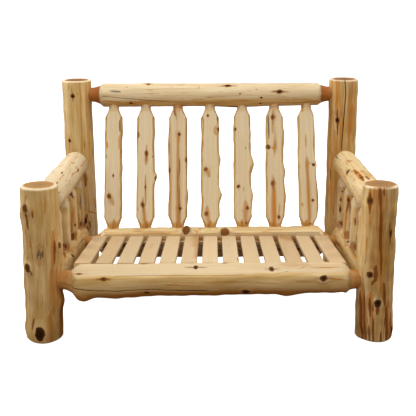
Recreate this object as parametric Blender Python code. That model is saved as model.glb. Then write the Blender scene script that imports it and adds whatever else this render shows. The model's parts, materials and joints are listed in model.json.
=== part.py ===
"""Log loveseat: a peeled-log frame with round tapered tenons, slab-faced spindles and a slatted seat.

Metres, +Z up, X to the viewer's right, Y towards the back. The origin is on the floor under the middle.
Angles round a log run from its local X to its local Y, in degrees. On a standing log 0 is the viewer's
right and 270 the front. On a log that runs across, 0 is the back, 90 the top and 180 the front. On a log
that runs front to back, 0 is the viewer's left, 90 the top and 180 the viewer's right.
"""

import math
import random
from dataclasses import dataclass, field

import bmesh
import bpy
from mathutils import Matrix, Vector

# Stance of the posts, axis to axis
FRONT_SPREAD = 1.375
BACK_SPREAD = 1.334
POST_DEPTH = 0.940
FRONT_POST_HEIGHT = 0.660
BACK_POST_HEIGHT = 0.964
FRONT_POST_RADIUS = 0.0745
BACK_POST_RADIUS = 0.0710
POST_RIM = 0.008

# Rails: axis heights and log radii
TOP_RAIL_DROP = 0.074
TOP_RAIL_RADIUS = 0.0555
FRONT_RAIL_HEIGHT = 0.254
FRONT_RAIL_RADIUS = 0.0700
FRONT_RAIL_TOP_CUT = 0.0233
FRONT_RAIL_TOP_TILT = 11.0
FRONT_RAIL_BACK_CUT = 0.025
FRONT_RAIL_LEFT_NECK = 0.013
SIDE_RAIL_HEIGHT = 0.1825
SIDE_RAIL_RADIUS = 0.0600
BACK_RAIL_RISE = 0.0175
BACK_RAIL_AHEAD = 0.265
BACK_RAIL_RADIUS = 0.0680
BACK_RAIL_FACE_CUT = 0.023
BACK_RAIL_NECK = 0.037
BACK_RAIL_CONE_RISE = 0.027
ARM_HEIGHT = 0.564
ARM_RADIUS = 0.0610

# Spindles
BACK_SPINDLE_COUNT = 7
BACK_SPINDLE_RADIUS = 0.0435
BACK_SPINDLE_FACE_CUT = 0.018
BACK_SPINDLE_FROM_SHOULDER = 0.041
ARM_SPINDLE_COUNT = 4
ARM_SPINDLE_RADIUS = 0.0430
ARM_SPINDLE_FACE_CUT = 0.010
ARM_SPINDLE_FRONT_GAP = 0.170
ARM_SPINDLE_BACK_GAP = 0.083

# Round tenons: radius and depth in the mortise, a straight neck, then the cone out to the shoulder
RAIL_TENON_RADIUS = 0.0290
FRONT_TENON_RADIUS = 0.0310
BACK_RAIL_TENON_RADIUS = 0.0280
SPINDLE_FOOT_RADIUS = 0.0285
SPINDLE_HEAD_RADIUS = 0.0245
RAIL_TENON_DEPTH = 0.040
SPINDLE_TENON_DEPTH = 0.036
TENON_TIP_CHAMFER = 0.005
TENON_STANDOFF = 0.004
RAIL_CONE_LENGTH = 0.040
RAIL_CONE_RISE = 0.0165
RAIL_SHOULDER = 0.014
SPINDLE_HEAD_NECK = 0.014
SPINDLE_CONE_LENGTH = 0.038
SPINDLE_SHOULDER_RADIUS = 0.0405
SPINDLE_SHOULDER = 0.006

# Seat
SLAT_WIDTH = 0.068
SLAT_THICKNESS = 0.022
SLAT_LEAST_GAP = 0.018
SLAT_EDGE = 0.003
SLAT_SET_DOWN_BACK = 0.008
SEAT_SIDE_GAP = 0.036
LEDGER_DEPTH = 0.032
LEDGER_HEIGHT = 0.042
LEDGER_SCREWS = 4
SCREW_LENGTH = 0.065
SCREW_RADIUS = 0.003
SCREW_HEAD_RADIUS = 0.0058
SCREW_HEAD_HEIGHT = 0.0040

# Fits and facets
CLEARANCE = 0.0003
LOG_SIDES = 16
SPINDLE_SIDES = 10
SCREW_SIDES = 6
BODY_RINGS = 9
SPINDLE_RINGS = 5
OVALITY = 0.012
RIPPLE = 0.008

LOG_COLOUR = (0.62, 0.42, 0.20, 1.0)
SLAT_COLOUR = (0.64, 0.42, 0.22, 1.0)
STEEL_COLOUR = (0.45, 0.44, 0.40, 1.0)


@dataclass(frozen=True)
class Swell:
    """A knot collar: the place along the log's body (0 to 1), its angle, its reach and its rise."""

    along: float
    angle: float
    reach: float
    rise: float


@dataclass(frozen=True)
class Tenon:
    """A round tenon: a surface `mouth` from the axis end, then a neck, a cone and a shoulder."""

    mouth: float
    radius: float
    depth: float
    neck: float
    cone_length: float
    cone_rise: float
    shoulder: float
    hollow: bool = False

    def turning(self):
        """(distance, radius) along the turned end, from the tip to the shoulder."""
        tip = self.mouth - self.depth
        neck = self.mouth + TENON_STANDOFF + self.neck
        wide = (neck + self.cone_length, self.radius + self.cone_rise)
        rings = [(tip, self.radius), (neck, self.radius), wide]
        if self.hollow:
            rings[:1] = [(tip, self.radius - TENON_TIP_CHAMFER), (tip + TENON_TIP_CHAMFER, self.radius)]
            rings.insert(3, (neck + 0.55 * self.cone_length, self.radius + 0.36 * self.cone_rise))
        return rings

    def socket(self):
        """(distance, radius) of the hole that the tenon needs, opened past the surface."""
        tip = self.mouth - self.depth - CLEARANCE
        hole = self.radius + CLEARANCE
        bottom = [(tip, hole)]
        if self.hollow:
            bottom = [(tip, hole - TENON_TIP_CHAMFER), (tip + TENON_TIP_CHAMFER, hole)]
        return [*bottom, (self.mouth + self.radius, hole)]


@dataclass(frozen=True)
class Flat:
    """A sawn or planed face: its direction round the log and how deep it cuts below the log's radius."""

    angle: float
    cut: float


@dataclass
class Log:
    """A peeled log from `start` to `end`, round at its tenons and natural between them."""

    name: str
    start: Vector
    end: Vector
    radius: float
    girth: tuple = (1.0, 1.0)
    tenons: tuple = ()
    flats: tuple = ()
    swells: tuple = ()
    drift: tuple = ((0.0, 0.0), (0.0, 0.0))
    rim: float = 0.0
    sides: int = LOG_SIDES
    rings: int = BODY_RINGS
    seed: int = 1
    sockets: list = field(default_factory=list)

    @property
    def post(self):
        """A log without tenons is a post, sawn level at both ends even where it leans."""
        return not self.tenons

    @property
    def length(self):
        return self.end.z - self.start.z if self.post else (self.end - self.start).length

    @property
    def lean(self):
        return self.end.xy - self.start.xy if self.post else Vector((0, 0))

    def frame(self):
        """The log's placement: local Z along the log, local Y up or, on a standing log, to the back."""
        along = Vector((0, 0, 1)) if self.post else (self.end - self.start).normalized()
        upright = abs(along.z) > 0.8
        side = Vector((0, 1, 0)) if upright else Vector((0, 0, 1))
        across = side.cross(along).normalized()
        turn = Matrix((across, along.cross(across), along)).transposed().to_4x4()
        return Matrix.Translation(self.start) @ turn

    def point_at_height(self, height):
        """The point on a standing log's axis at a height above the floor."""
        share = (height - self.start.z) / (self.end.z - self.start.z)
        return self.start.lerp(self.end, share)

    def point_at_depth(self, y):
        """The point on a front-to-back log's axis at a Y."""
        share = (y - self.start.y) / (self.end.y - self.start.y)
        return self.start.lerp(self.end, share)

    def radius_at(self, share):
        return self.radius * (self.girth[0] + (self.girth[1] - self.girth[0]) * share)

    def stations(self):
        """(distance along, round radius or None, share of the body's own form) for every ring."""
        if self.post:
            inner = [self.rim + (self.length - 2 * self.rim) * i / self.rings for i in range(self.rings + 1)]
            ends = ((0.0, -self.rim, 1.0), (self.length, -self.rim, 1.0))
            return [ends[0]] + [(s, 0.0, 1.0) for s in inner] + [ends[1]]
        near, far = self.tenons
        left = [(s, r, 0.0) for s, r in near.turning()]
        right = [(self.length - s, r, 0.0) for s, r in reversed(far.turning())]
        first = left[-1][0] + near.shoulder
        last = right[0][0] - far.shoulder
        body = [(first + (last - first) * i / self.rings, 0.0, 1.0) for i in range(self.rings + 1)]
        return left + body + right

    def body_span(self):
        """Where the natural body begins and ends along the log."""
        body = [s for s, _, natural in self.stations() if natural]
        return body[0], body[-1]

    def surface_radius(self, share, angle, phases):
        """The body's radius: taper, oval, slow ripple along the log and knot collars."""
        base = self.radius_at(share)
        oval = OVALITY * math.cos(2 * angle + phases[0])
        ripple = RIPPLE * math.cos(3 * angle + phases[1] + 4.0 * share)
        wave = RIPPLE * math.sin(2 * math.pi * share * self.length / (5 * self.radius) + phases[2])
        radius = base * (1 + oval + ripple + wave)
        for swell in self.swells:
            turn = math.remainder(angle - math.radians(swell.angle), 2 * math.pi)
            apart = math.hypot(turn * base, (share - swell.along) * self.length) / swell.reach
            radius += swell.rise * math.exp(-2.0 * apart * apart)
        return radius

    def mesh(self):
        """Rings lofted along the log, then the sawn faces."""
        rng = random.Random(self.seed)
        phases = [rng.uniform(0, 2 * math.pi) for _ in range(3)]
        stations = self.stations()
        first, last = self.body_span()
        bm = bmesh.new()
        rings = []
        for distance, size, natural in stations:
            share = (distance - first) / (last - first)
            drift = [natural * (a + (b - a) * share) for a, b in zip(*self.drift)]
            middle = self.lean * (distance / self.length) + Vector(drift)
            ring = []
            for i in range(self.sides):
                angle = 2 * math.pi * i / self.sides
                radius = size + self.surface_radius(share, angle, phases) if natural else size
                point = (middle.x + radius * math.cos(angle), middle.y + radius * math.sin(angle), distance)
                ring.append(bm.verts.new(point))
            rings.append(ring)
        loft(bm, rings)
        for flat in self.flats:
            saw(bm, flat.angle, self.radius - flat.cut)
        return finish_mesh(bm, self.name)

    def build(self, colour=LOG_COLOUR):
        placed = place(self.name, self.mesh(), self.frame(), colour)
        cut_sockets(placed, self.sockets)
        return placed

    def tenon_socket(self, far):
        """The hole that one of the log's tenons needs: its placement and its turned profile."""
        profile = self.tenons[1 if far else 0].socket()
        if far:
            profile = [(self.length - s, r) for s, r in reversed(profile)]
        return self.frame(), profile


def loft(bm, rings):
    """Skin closed rings of equal count and cap both ends."""
    for low, high in zip(rings, rings[1:]):
        for i in range(len(low)):
            j = (i + 1) % len(low)
            bm.faces.new((low[i], low[j], high[j], high[i]))
    bm.faces.new(list(reversed(rings[0])))
    bm.faces.new(rings[-1])


def saw(bm, angle, distance):
    """Take off everything beyond a plane that lies `distance` from the axis, and close the cut."""
    normal = Vector((math.cos(math.radians(angle)), math.sin(math.radians(angle)), 0.0))
    geom = bm.verts[:] + bm.edges[:] + bm.faces[:]
    cut = bmesh.ops.bisect_plane(
        bm, geom=geom, plane_co=normal * distance, plane_no=normal, dist=1e-6, clear_outer=True
    )
    edges = [e for e in cut["geom_cut"] if isinstance(e, bmesh.types.BMEdge)]
    bmesh.ops.edgeloop_fill(bm, edges=edges)


def finish_mesh(bm, name):
    bmesh.ops.recalc_face_normals(bm, faces=bm.faces[:])
    mesh = bpy.data.meshes.new(name)
    bm.to_mesh(mesh)
    bm.free()
    mesh.shade_smooth()
    mesh.set_sharp_from_angle(angle=math.radians(38))
    return mesh


def turned(bm, profile, sides, matrix):
    """A turned solid from (distance, radius) pairs along local Z."""
    rings = []
    for distance, radius in profile:
        turns = [2 * math.pi * i / sides for i in range(sides)]
        points = [Vector((radius * math.cos(t), radius * math.sin(t), distance)) for t in turns]
        rings.append([bm.verts.new(matrix @ p) for p in points])
    loft(bm, rings)


def place(name, mesh, matrix, colour, metallic=0.0, roughness=0.45):
    """Add a node with its own material, standing under the loveseat's empty."""
    material = bpy.data.materials.new(name)
    material.use_nodes = True
    shader = material.node_tree.nodes["Principled BSDF"]
    shader.inputs["Base Color"].default_value = colour
    shader.inputs["Roughness"].default_value = roughness
    shader.inputs["Metallic"].default_value = metallic
    mesh.materials.append(material)
    placed = bpy.data.objects.new(name, mesh)
    bpy.context.scene.collection.objects.link(placed)
    placed.matrix_world = matrix
    placed.parent = ROOT
    return placed


def cut_sockets(target, sockets):
    """Bore every socket of one piece with a single hidden cutter."""
    if not sockets:
        return
    bm = bmesh.new()
    for matrix, profile, sides in sockets:
        turned(bm, profile, sides, matrix)
    cutter = bpy.data.objects.new("cutter_" + target.name, finish_mesh(bm, "cutter_" + target.name))
    bpy.context.scene.collection.objects.link(cutter)
    cutter.hide_render = True
    cutter.display_type = "WIRE"
    cut = target.modifiers.new("sockets", "BOOLEAN")
    cut.operation = "DIFFERENCE"
    cut.solver = "EXACT"
    cut.object = cutter


def join(rail, near, far):
    """Sink a log's two tenons in the logs that hold it."""
    for holder, at_far in ((near, False), (far, True)):
        matrix, profile = rail.tenon_socket(at_far)
        holder.sockets.append((matrix, profile, rail.sides))


def rail_tenon(mouth, radius=RAIL_TENON_RADIUS, rise=RAIL_CONE_RISE, neck=0.0):
    return Tenon(mouth, radius, RAIL_TENON_DEPTH, neck, RAIL_CONE_LENGTH, rise, RAIL_SHOULDER, hollow=True)


def spindle_tenon(mouth, radius, neck=0.0):
    rise = SPINDLE_SHOULDER_RADIUS - radius
    return Tenon(mouth, radius, SPINDLE_TENON_DEPTH, neck, SPINDLE_CONE_LENGTH, rise, SPINDLE_SHOULDER)


def make_posts():
    """The four posts, keyed by place; each keeps its own taper, lean and knot collars."""
    front_y, back_y = -POST_DEPTH / 2, POST_DEPTH / 2
    growth = {
        "front_left": ((1.036, 1.011), -0.010, (Swell(0.60, 5, 0.075, 0.010), Swell(0.25, 350, 0.070, 0.007),
                                                Swell(0.09, 268, 0.060, 0.004))),
        "front_right": ((1.058, 0.964), 0.0, (Swell(0.55, 185, 0.080, 0.004), Swell(0.16, 262, 0.050, 0.003))),
        "back_left": ((1.090, 0.996), 0.0, (Swell(0.42, 285, 0.080, 0.004),)),
        "back_right": ((1.020, 1.005), 0.0, (Swell(0.86, 265, 0.050, 0.003),)),
    }
    posts = {}
    for number, (where, (girth, lean, swells)) in enumerate(growth.items()):
        front = where.startswith("front")
        spread = FRONT_SPREAD if front else BACK_SPREAD
        x = math.copysign(spread / 2, -1 if where.endswith("left") else 1)
        y = front_y if front else back_y
        height = FRONT_POST_HEIGHT if front else BACK_POST_HEIGHT
        radius = FRONT_POST_RADIUS if front else BACK_POST_RADIUS
        posts[where] = Log("post_" + where, Vector((x + lean, y, 0)), Vector((x, y, height)), radius, girth,
                           swells=swells, rim=POST_RIM, seed=11 + number)
    return posts


def between_posts(name, near, far, height, radius, **extra):
    """A log between two posts at one height, with its tenon mouths on the posts' surfaces."""
    start, end = near.point_at_height(height), far.point_at_height(height)
    tenon_radius = extra.pop("tenon_radius", RAIL_TENON_RADIUS)
    necks = extra.pop("necks", (0.0, 0.0))
    mouths = [post.radius_at(height / post.end.z) for post in (near, far)]
    tenons = tuple(rail_tenon(mouth, tenon_radius, neck=neck) for mouth, neck in zip(mouths, necks))
    return Log(name, start, end, radius, tenons=tenons, **extra)


def make_rails(posts):
    """Rails and arms, already joined to their posts."""
    top_height = BACK_POST_HEIGHT - TOP_RAIL_DROP
    rails = {
        "top": between_posts(
            "top_rail", posts["back_left"], posts["back_right"], top_height, TOP_RAIL_RADIUS,
            girth=(1.05, 1.0), drift=((0.0, -0.003), (0.0, -0.002)),
            swells=(Swell(0.21, 75, 0.045, 0.004), Swell(0.58, 110, 0.040, 0.003)), seed=21,
        ),
        "front": between_posts(
            "front_seat_rail", posts["front_left"], posts["front_right"], FRONT_RAIL_HEIGHT, FRONT_RAIL_RADIUS,
            tenon_radius=FRONT_TENON_RADIUS, necks=(FRONT_RAIL_LEFT_NECK, 0.0),
            girth=(1.02, 0.88), drift=((0.0, -0.005), (0.0, 0.006)),
            flats=(Flat(90 + FRONT_RAIL_TOP_TILT, FRONT_RAIL_TOP_CUT), Flat(0, FRONT_RAIL_BACK_CUT)),
            swells=(Swell(0.03, 245, 0.050, 0.011), Swell(0.79, 255, 0.055, 0.008),
                    Swell(0.89, 190, 0.045, 0.003)),
            seed=22,
        ),
    }
    for where, seed, girth in (("left", 23, (1.04, 0.99)), ("right", 24, (1.03, 0.98))):
        rails["arm_" + where] = between_posts(
            "arm_rail_" + where, posts["front_" + where], posts["back_" + where], ARM_HEIGHT, ARM_RADIUS,
            girth=girth, seed=seed,
        )
    inner = {"left": 1, "right": -1}
    for where, seed in (("left", 25), ("right", 26)):
        tilt = inner[where]
        rails["side_" + where] = between_posts(
            "side_rail_" + where, posts["front_" + where], posts["back_" + where], SIDE_RAIL_HEIGHT,
            SIDE_RAIL_RADIUS, seed=seed, rings=BODY_RINGS + 3,
            swells=(Swell(0.81, 90 + 32 * tilt, 0.055, 0.014), Swell(0.47, 90 + 40 * tilt, 0.060, 0.010),
                    Swell(0.16, 90 + 45 * tilt, 0.050, 0.012)),
        )
    join(rails["top"], posts["back_left"], posts["back_right"])
    join(rails["front"], posts["front_left"], posts["front_right"])
    for kind in ("arm_", "side_"):
        for where in ("left", "right"):
            join(rails[kind + where], posts["front_" + where], posts["back_" + where])
    rails["back"] = make_back_rail(rails)
    return rails


def make_back_rail(rails):
    """The rail behind the slats, held by the side rails ahead of the back posts."""
    y = POST_DEPTH / 2 - BACK_RAIL_AHEAD
    rise = Vector((0, 0, BACK_RAIL_RISE))
    ends = [rails["side_" + where].point_at_depth(y) + rise for where in ("left", "right")]
    mouth = math.sqrt(SIDE_RAIL_RADIUS**2 - BACK_RAIL_RISE**2)
    tenon = rail_tenon(mouth, BACK_RAIL_TENON_RADIUS, BACK_RAIL_CONE_RISE, BACK_RAIL_NECK)
    rail = Log("back_seat_rail", ends[0], ends[1], BACK_RAIL_RADIUS, tenons=(tenon, tenon),
               flats=(Flat(180, BACK_RAIL_FACE_CUT),), swells=(Swell(0.37, 120, 0.040, 0.003),), seed=27)
    join(rail, rails["side_left"], rails["side_right"])
    return rail


def make_back_spindles(rails):
    """Raked spindles between the back seat rail and the top rail, flat to the front."""
    low, high = rails["back"], rails["top"]
    swells = {1: (Swell(0.66, 0, 0.030, 0.003),), 3: (Swell(0.24, 350, 0.040, 0.005),),
              4: (Swell(0.52, 355, 0.040, 0.004),)}
    leans = {6: ((0.004, 0.0), (-0.004, 0.0))}
    spindles = []
    first, last = [low.start.x + s for s in low.body_span()]
    first, last = first + BACK_SPINDLE_FROM_SHOULDER, last - BACK_SPINDLE_FROM_SHOULDER
    for i in range(BACK_SPINDLE_COUNT):
        x = first + (last - first) * i / (BACK_SPINDLE_COUNT - 1)
        start = Vector((x, low.start.y, low.start.z))
        end = Vector((x, high.start.y, high.start.z))
        spindle = Log(f"back_spindle_{i + 1}", start, end, BACK_SPINDLE_RADIUS,
                      tenons=(spindle_tenon(BACK_RAIL_RADIUS, SPINDLE_FOOT_RADIUS),
                              spindle_tenon(TOP_RAIL_RADIUS, SPINDLE_HEAD_RADIUS, SPINDLE_HEAD_NECK)),
                      flats=(Flat(270, BACK_SPINDLE_FACE_CUT),), swells=swells.get(i, ()),
                      drift=leans.get(i, ((0.0, 0.0), (0.0, 0.0))), sides=SPINDLE_SIDES, rings=SPINDLE_RINGS,
                      seed=31 + i)
        join(spindle, low, high)
        spindles.append(spindle)
    return spindles


def make_arm_spindles(rails, posts):
    """Upright spindles under each arm, evenly spaced between the posts, flat to the inside."""
    spindles = []
    for where, inside in (("left", 0), ("right", 180)):
        low, high = rails["side_" + where], rails["arm_" + where]
        near, far = posts["front_" + where], posts["back_" + where]
        first = near.start.y + FRONT_POST_RADIUS + ARM_SPINDLE_FRONT_GAP
        last = far.start.y - BACK_POST_RADIUS - ARM_SPINDLE_BACK_GAP
        for i in range(ARM_SPINDLE_COUNT):
            y = first + (last - first) * i / (ARM_SPINDLE_COUNT - 1)
            share = (y - near.start.y) / (far.start.y - near.start.y)
            spindle = Log(f"arm_spindle_{where}_{i + 1}", low.point_at_depth(y), high.point_at_depth(y),
                          ARM_SPINDLE_RADIUS,
                          tenons=(spindle_tenon(SIDE_RAIL_RADIUS, SPINDLE_FOOT_RADIUS),
                                  spindle_tenon(high.radius_at(share), SPINDLE_HEAD_RADIUS)),
                          flats=(Flat(inside, ARM_SPINDLE_FACE_CUT),), sides=SPINDLE_SIDES, rings=SPINDLE_RINGS,
                          seed=41 + i + (10 if where == "right" else 0))
            join(spindle, low, high)
            spindles.append(spindle)
    return spindles


@dataclass
class Seat:
    """The slatted deck between the front rail's back face and the back rail's front face."""

    front: Log
    back: Log

    @property
    def front_y(self):
        return self.front.start.y + FRONT_RAIL_RADIUS - FRONT_RAIL_BACK_CUT

    @property
    def back_y(self):
        return self.back.start.y - BACK_RAIL_RADIUS + BACK_RAIL_FACE_CUT

    @property
    def front_top(self):
        """Flush with the edge where the front rail's planed top meets its sawn back."""
        tilt = math.radians(FRONT_RAIL_TOP_TILT)
        across = FRONT_RAIL_RADIUS - FRONT_RAIL_BACK_CUT
        planed = FRONT_RAIL_RADIUS - FRONT_RAIL_TOP_CUT
        return FRONT_RAIL_HEIGHT + (planed + math.sin(tilt) * across) / math.cos(tilt)

    @property
    def back_top(self):
        across = BACK_RAIL_RADIUS - BACK_RAIL_FACE_CUT
        return self.back.start.z + math.sqrt(BACK_RAIL_RADIUS**2 - across**2) - SLAT_SET_DOWN_BACK

    @property
    def slope(self):
        """Angle by which the seat falls towards the back."""
        return math.atan2(self.front_top - self.back_top, self.back_y - self.front_y)

    @property
    def half_width(self):
        return BACK_SPREAD / 2 - SIDE_RAIL_RADIUS - SEAT_SIDE_GAP

    def top_at(self, y):
        return self.front_top - math.tan(self.slope) * (y - self.front_y)

    def slat_places(self):
        """X of every slat: as many as fit with the least gap, spread over the seat's width."""
        width = 2 * self.half_width
        count = int((width + SLAT_LEAST_GAP) / (SLAT_WIDTH + SLAT_LEAST_GAP))
        pitch = (width - SLAT_WIDTH) / (count - 1)
        return [(i - (count - 1) / 2) * pitch for i in range(count)]

    def slats(self):
        room = self.back_y - self.front_y - 2 * CLEARANCE
        overhang = SLAT_THICKNESS * math.sin(self.slope)
        length = (room - overhang) / math.cos(self.slope)
        middle_y = (self.front_y + self.back_y + overhang) / 2
        turn = Matrix.Rotation(-self.slope, 4, "X")
        sunk = turn @ Vector((0, 0, -SLAT_THICKNESS / 2))
        for i, x in enumerate(self.slat_places()):
            middle = Vector((x, middle_y, self.top_at(middle_y)))
            bm = bmesh.new()
            size = Matrix.Diagonal((SLAT_WIDTH, length, SLAT_THICKNESS, 1))
            bmesh.ops.create_cube(bm, size=1.0, matrix=size)
            long_edges = [e for e in bm.edges if abs(e.verts[0].co.y - e.verts[1].co.y) > length / 2]
            bmesh.ops.bevel(bm, geom=long_edges, offset=SLAT_EDGE, segments=1, affect="EDGES", profile=0.5)
            name = f"seat_slat_{i + 1:02d}"
            place(name, finish_mesh(bm, name), Matrix.Translation(middle + sunk) @ turn, SLAT_COLOUR)

    def ledger(self, name, rail, face_y, inward):
        """A cleat on a rail's sawn face, its top following the slats, and the screws that hold it."""
        below = SLAT_THICKNESS / math.cos(self.slope) + CLEARANCE
        near, far = face_y + inward * CLEARANCE, face_y + inward * LEDGER_DEPTH
        half = self.half_width
        profile = [(y, self.top_at(y) - below - drop) for drop, y in
                   ((0, near), (0, far), (LEDGER_HEIGHT, far), (LEDGER_HEIGHT, near))]
        bm = bmesh.new()
        loft(bm, [[bm.verts.new((x, y, z)) for y, z in profile] for x in (-half, half)])
        ledger = place(name, finish_mesh(bm, name), Matrix(), SLAT_COLOUR)
        middle = self.top_at(far) - below - LEDGER_HEIGHT / 2
        quarter = Matrix.Rotation(math.radians(90 * inward), 4, "X")
        slats = self.slat_places()
        holes = []
        for i in range(LEDGER_SCREWS):
            x = slats[round((len(slats) - 1) * (i + 0.5) / LEDGER_SCREWS)]
            matrix = Matrix.Translation((x, far, middle)) @ quarter
            bm = bmesh.new()
            turned(bm, screw_profile(), SCREW_SIDES, Matrix())
            piece = f"ledger_screw_{name.split('_')[1]}_{i + 1}"
            place(piece, finish_mesh(bm, piece), matrix, STEEL_COLOUR, metallic=1.0, roughness=0.35)
            holes.append((matrix, screw_hole(), SCREW_SIDES))
        cut_sockets(ledger, holes)
        rail.sockets.extend(holes)


def screw_profile():
    """A countersunk screw along local Z, its head flush at zero."""
    point = SCREW_LENGTH - 2 * SCREW_RADIUS
    return [(0.0, SCREW_HEAD_RADIUS), (SCREW_HEAD_HEIGHT, SCREW_RADIUS), (point, SCREW_RADIUS),
            (SCREW_LENGTH, SCREW_RADIUS * 0.3)]


def screw_hole():
    """The countersunk hole for a screw, open at the head and clear of it all round."""
    grown = [(s + CLEARANCE, r + CLEARANCE) for s, r in screw_profile()]
    return [(-SCREW_HEAD_HEIGHT, grown[0][1]), *grown]


def main():
    posts = make_posts()
    rails = make_rails(posts)
    spindles = make_back_spindles(rails) + make_arm_spindles(rails, posts)
    seat = Seat(rails["front"], rails["back"])
    seat.slats()
    seat.ledger("ledger_front", rails["front"], seat.front_y, 1)
    seat.ledger("ledger_back", rails["back"], seat.back_y, -1)
    for log in [*posts.values(), *rails.values(), *spindles]:
        log.build()


for old in list(bpy.data.objects):
    bpy.data.objects.remove(old)
ROOT = bpy.data.objects.new("loveseat", None)
bpy.context.scene.collection.objects.link(ROOT)
main()
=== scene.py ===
"""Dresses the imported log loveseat: peeled logs with their knots, checks and stains, planed slats, screws.

Metres and the frame of the solids throughout: X to the viewer's right, Y to the back, Z up. Knots, checks
and stains are named by their pixel in the 416 by 416 photograph and cast on to the log that carries them.
Angles round a log follow the solids: on a standing log 0 is the viewer's right and 270 the front; on a log
that runs across, 0 is the back, 90 the top and 180 the front; on one that runs front to back, 0 is the left,
90 the top and 180 the right.
"""

from __future__ import annotations

import json
import logging
import math
import random
from collections.abc import Sequence
from dataclasses import dataclass, field, replace
from enum import Enum

import bpy
import numpy as np
from mathutils import Matrix, Vector

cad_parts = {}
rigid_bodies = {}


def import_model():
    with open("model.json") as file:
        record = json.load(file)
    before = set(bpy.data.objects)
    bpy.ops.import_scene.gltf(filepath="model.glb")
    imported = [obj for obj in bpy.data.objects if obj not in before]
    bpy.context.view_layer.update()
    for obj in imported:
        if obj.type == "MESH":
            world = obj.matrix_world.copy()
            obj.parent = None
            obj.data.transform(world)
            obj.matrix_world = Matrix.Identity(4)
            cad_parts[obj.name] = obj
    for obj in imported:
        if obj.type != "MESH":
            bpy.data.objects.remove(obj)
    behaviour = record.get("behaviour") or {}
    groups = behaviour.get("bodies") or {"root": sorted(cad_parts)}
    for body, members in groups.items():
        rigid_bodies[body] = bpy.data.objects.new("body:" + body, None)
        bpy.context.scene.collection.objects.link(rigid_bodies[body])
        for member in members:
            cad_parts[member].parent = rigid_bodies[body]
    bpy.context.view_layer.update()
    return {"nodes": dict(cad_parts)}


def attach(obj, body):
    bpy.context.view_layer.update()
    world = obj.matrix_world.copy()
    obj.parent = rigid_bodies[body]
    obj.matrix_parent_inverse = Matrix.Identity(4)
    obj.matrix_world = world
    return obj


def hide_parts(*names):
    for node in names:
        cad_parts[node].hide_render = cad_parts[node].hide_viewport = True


LOG = logging.getLogger("loveseat")
Array = np.ndarray
Colour = tuple[float, float, float]
Socket = bpy.types.NodeSocket
Sockets = bpy.types.bpy_prop_collection
TAU = 2 * math.pi

# Spacing of the meshes: over a log, on its turned ends and rims, and round holes and screws.
STEP = 0.0032
TURNED_STEP = 0.0021
PAST_SHOULDER = 0.012
RIM_STEP = 0.0009
PAST_RIM = 1.2
MORTISE_SIDES = 64
SCREW_SIDES = 24

# Edges: how far flats and shoulders are eased, how round a rim is, and which edges stay sharp.
SOFT_EDGE = 0.0010
SOFT_SHOULDER = 0.0018
RIM_ROUND = 0.92
SHARP = math.radians(42)
SCREW_SHARP = math.radians(30)

# Joints: the glue line, a tenon's chamfer, its cone's distance from the mouth, the least slope of its
# shoulder, and where a neck flares.
CLEARANCE = 0.0003
TIP_CHAMFER = 0.005
STANDOFF = 0.004
LEAST_SLOPE = 0.3
UNDERSIDE = math.radians(255)

# Flats: how squarely one has to face, the radius where none does, its narrowest half in radians, and the
# rounds that find its edges.
FACING = 0.05
NO_FLAT = 9.0
NARROWEST = 0.16
EDGE_ROUNDS = 5

# A peeled log: slow waves round and along it, a pith that doesn't wander or stops short of the tenons,
# dished knots, and hidden knots.
WAVE_TURNS = (0, 0, 1, 1, 2, 2, 3, 4)
WAVE_LENGTHS = (0.06, 0.42)
STRAIGHT = ((0.0, 0.0), (0.0, 0.0))
PITH_FADE = (-0.03, 0.01)
DISH = 0.10
DISH_SHARE = 0.75
HIDDEN_SIDE = 75
HIDDEN_CORES = (0.004, 0.011)

# Cuts as they are painted: end faces, depths at which a cut shows and what an eased flat adds to them, and
# where cones, necks and bevels lie.
END_FACE = 1e-4
CUT_FROM, CUT_FULL = 0.0004, 0.0018
EASED_CUT = (0.25, 0.6)
CONE_EDGE = (-0.0010, 0.0008)
CONE_FADE = (0.006, -0.016)
NECK_FADE = (-0.018, -0.036)
BEVEL_SHARE = (0.64, 0.82)
PALE_SHOULDER = 0.010

# Marks as they are painted: cracks, knots and stains.
CRACK_FADE = 0.02
CRACK_SIDE = 1.2
OFF_CRACK = 9.0
GRAIN_SHIFT = 3.7
FAR_OFF = 40.0
SWERVE = (1.25, 0.5)
RANK_SHIFT = 0.37
KNOT_PARTING = (1.2, 2.4)
KNOT_FADE = (7.0, 5.0)
KNOT_SPAN = 9.0
FULL_COLLAR = 0.004
STAIN_CORE = 0.6
LEAST_TAPER = 0.04
FAINT = 0.03

# How finely the finishes' figure is drawn, per metre: across the log, twice, and along it.
FIBRE_SCALE = (230, 230, 7)
BAND_SCALE = (30, 30, 2.6)
RING_SCALE = (9, 9, 1.7)
RINGS_IN_METRE = 150.0
FLECK_SCALE = (180, 180, 13)
CLUSTER_SCALE = (16, 16, 6)
WIDE_SCALE = (52, 52, 1.3)
THIN_SCALE = (150, 150, 2.6)
HEART_SCALE = (34, 34, 3.0)
ZINC_SCALE = (900, 900, 900)


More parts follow.
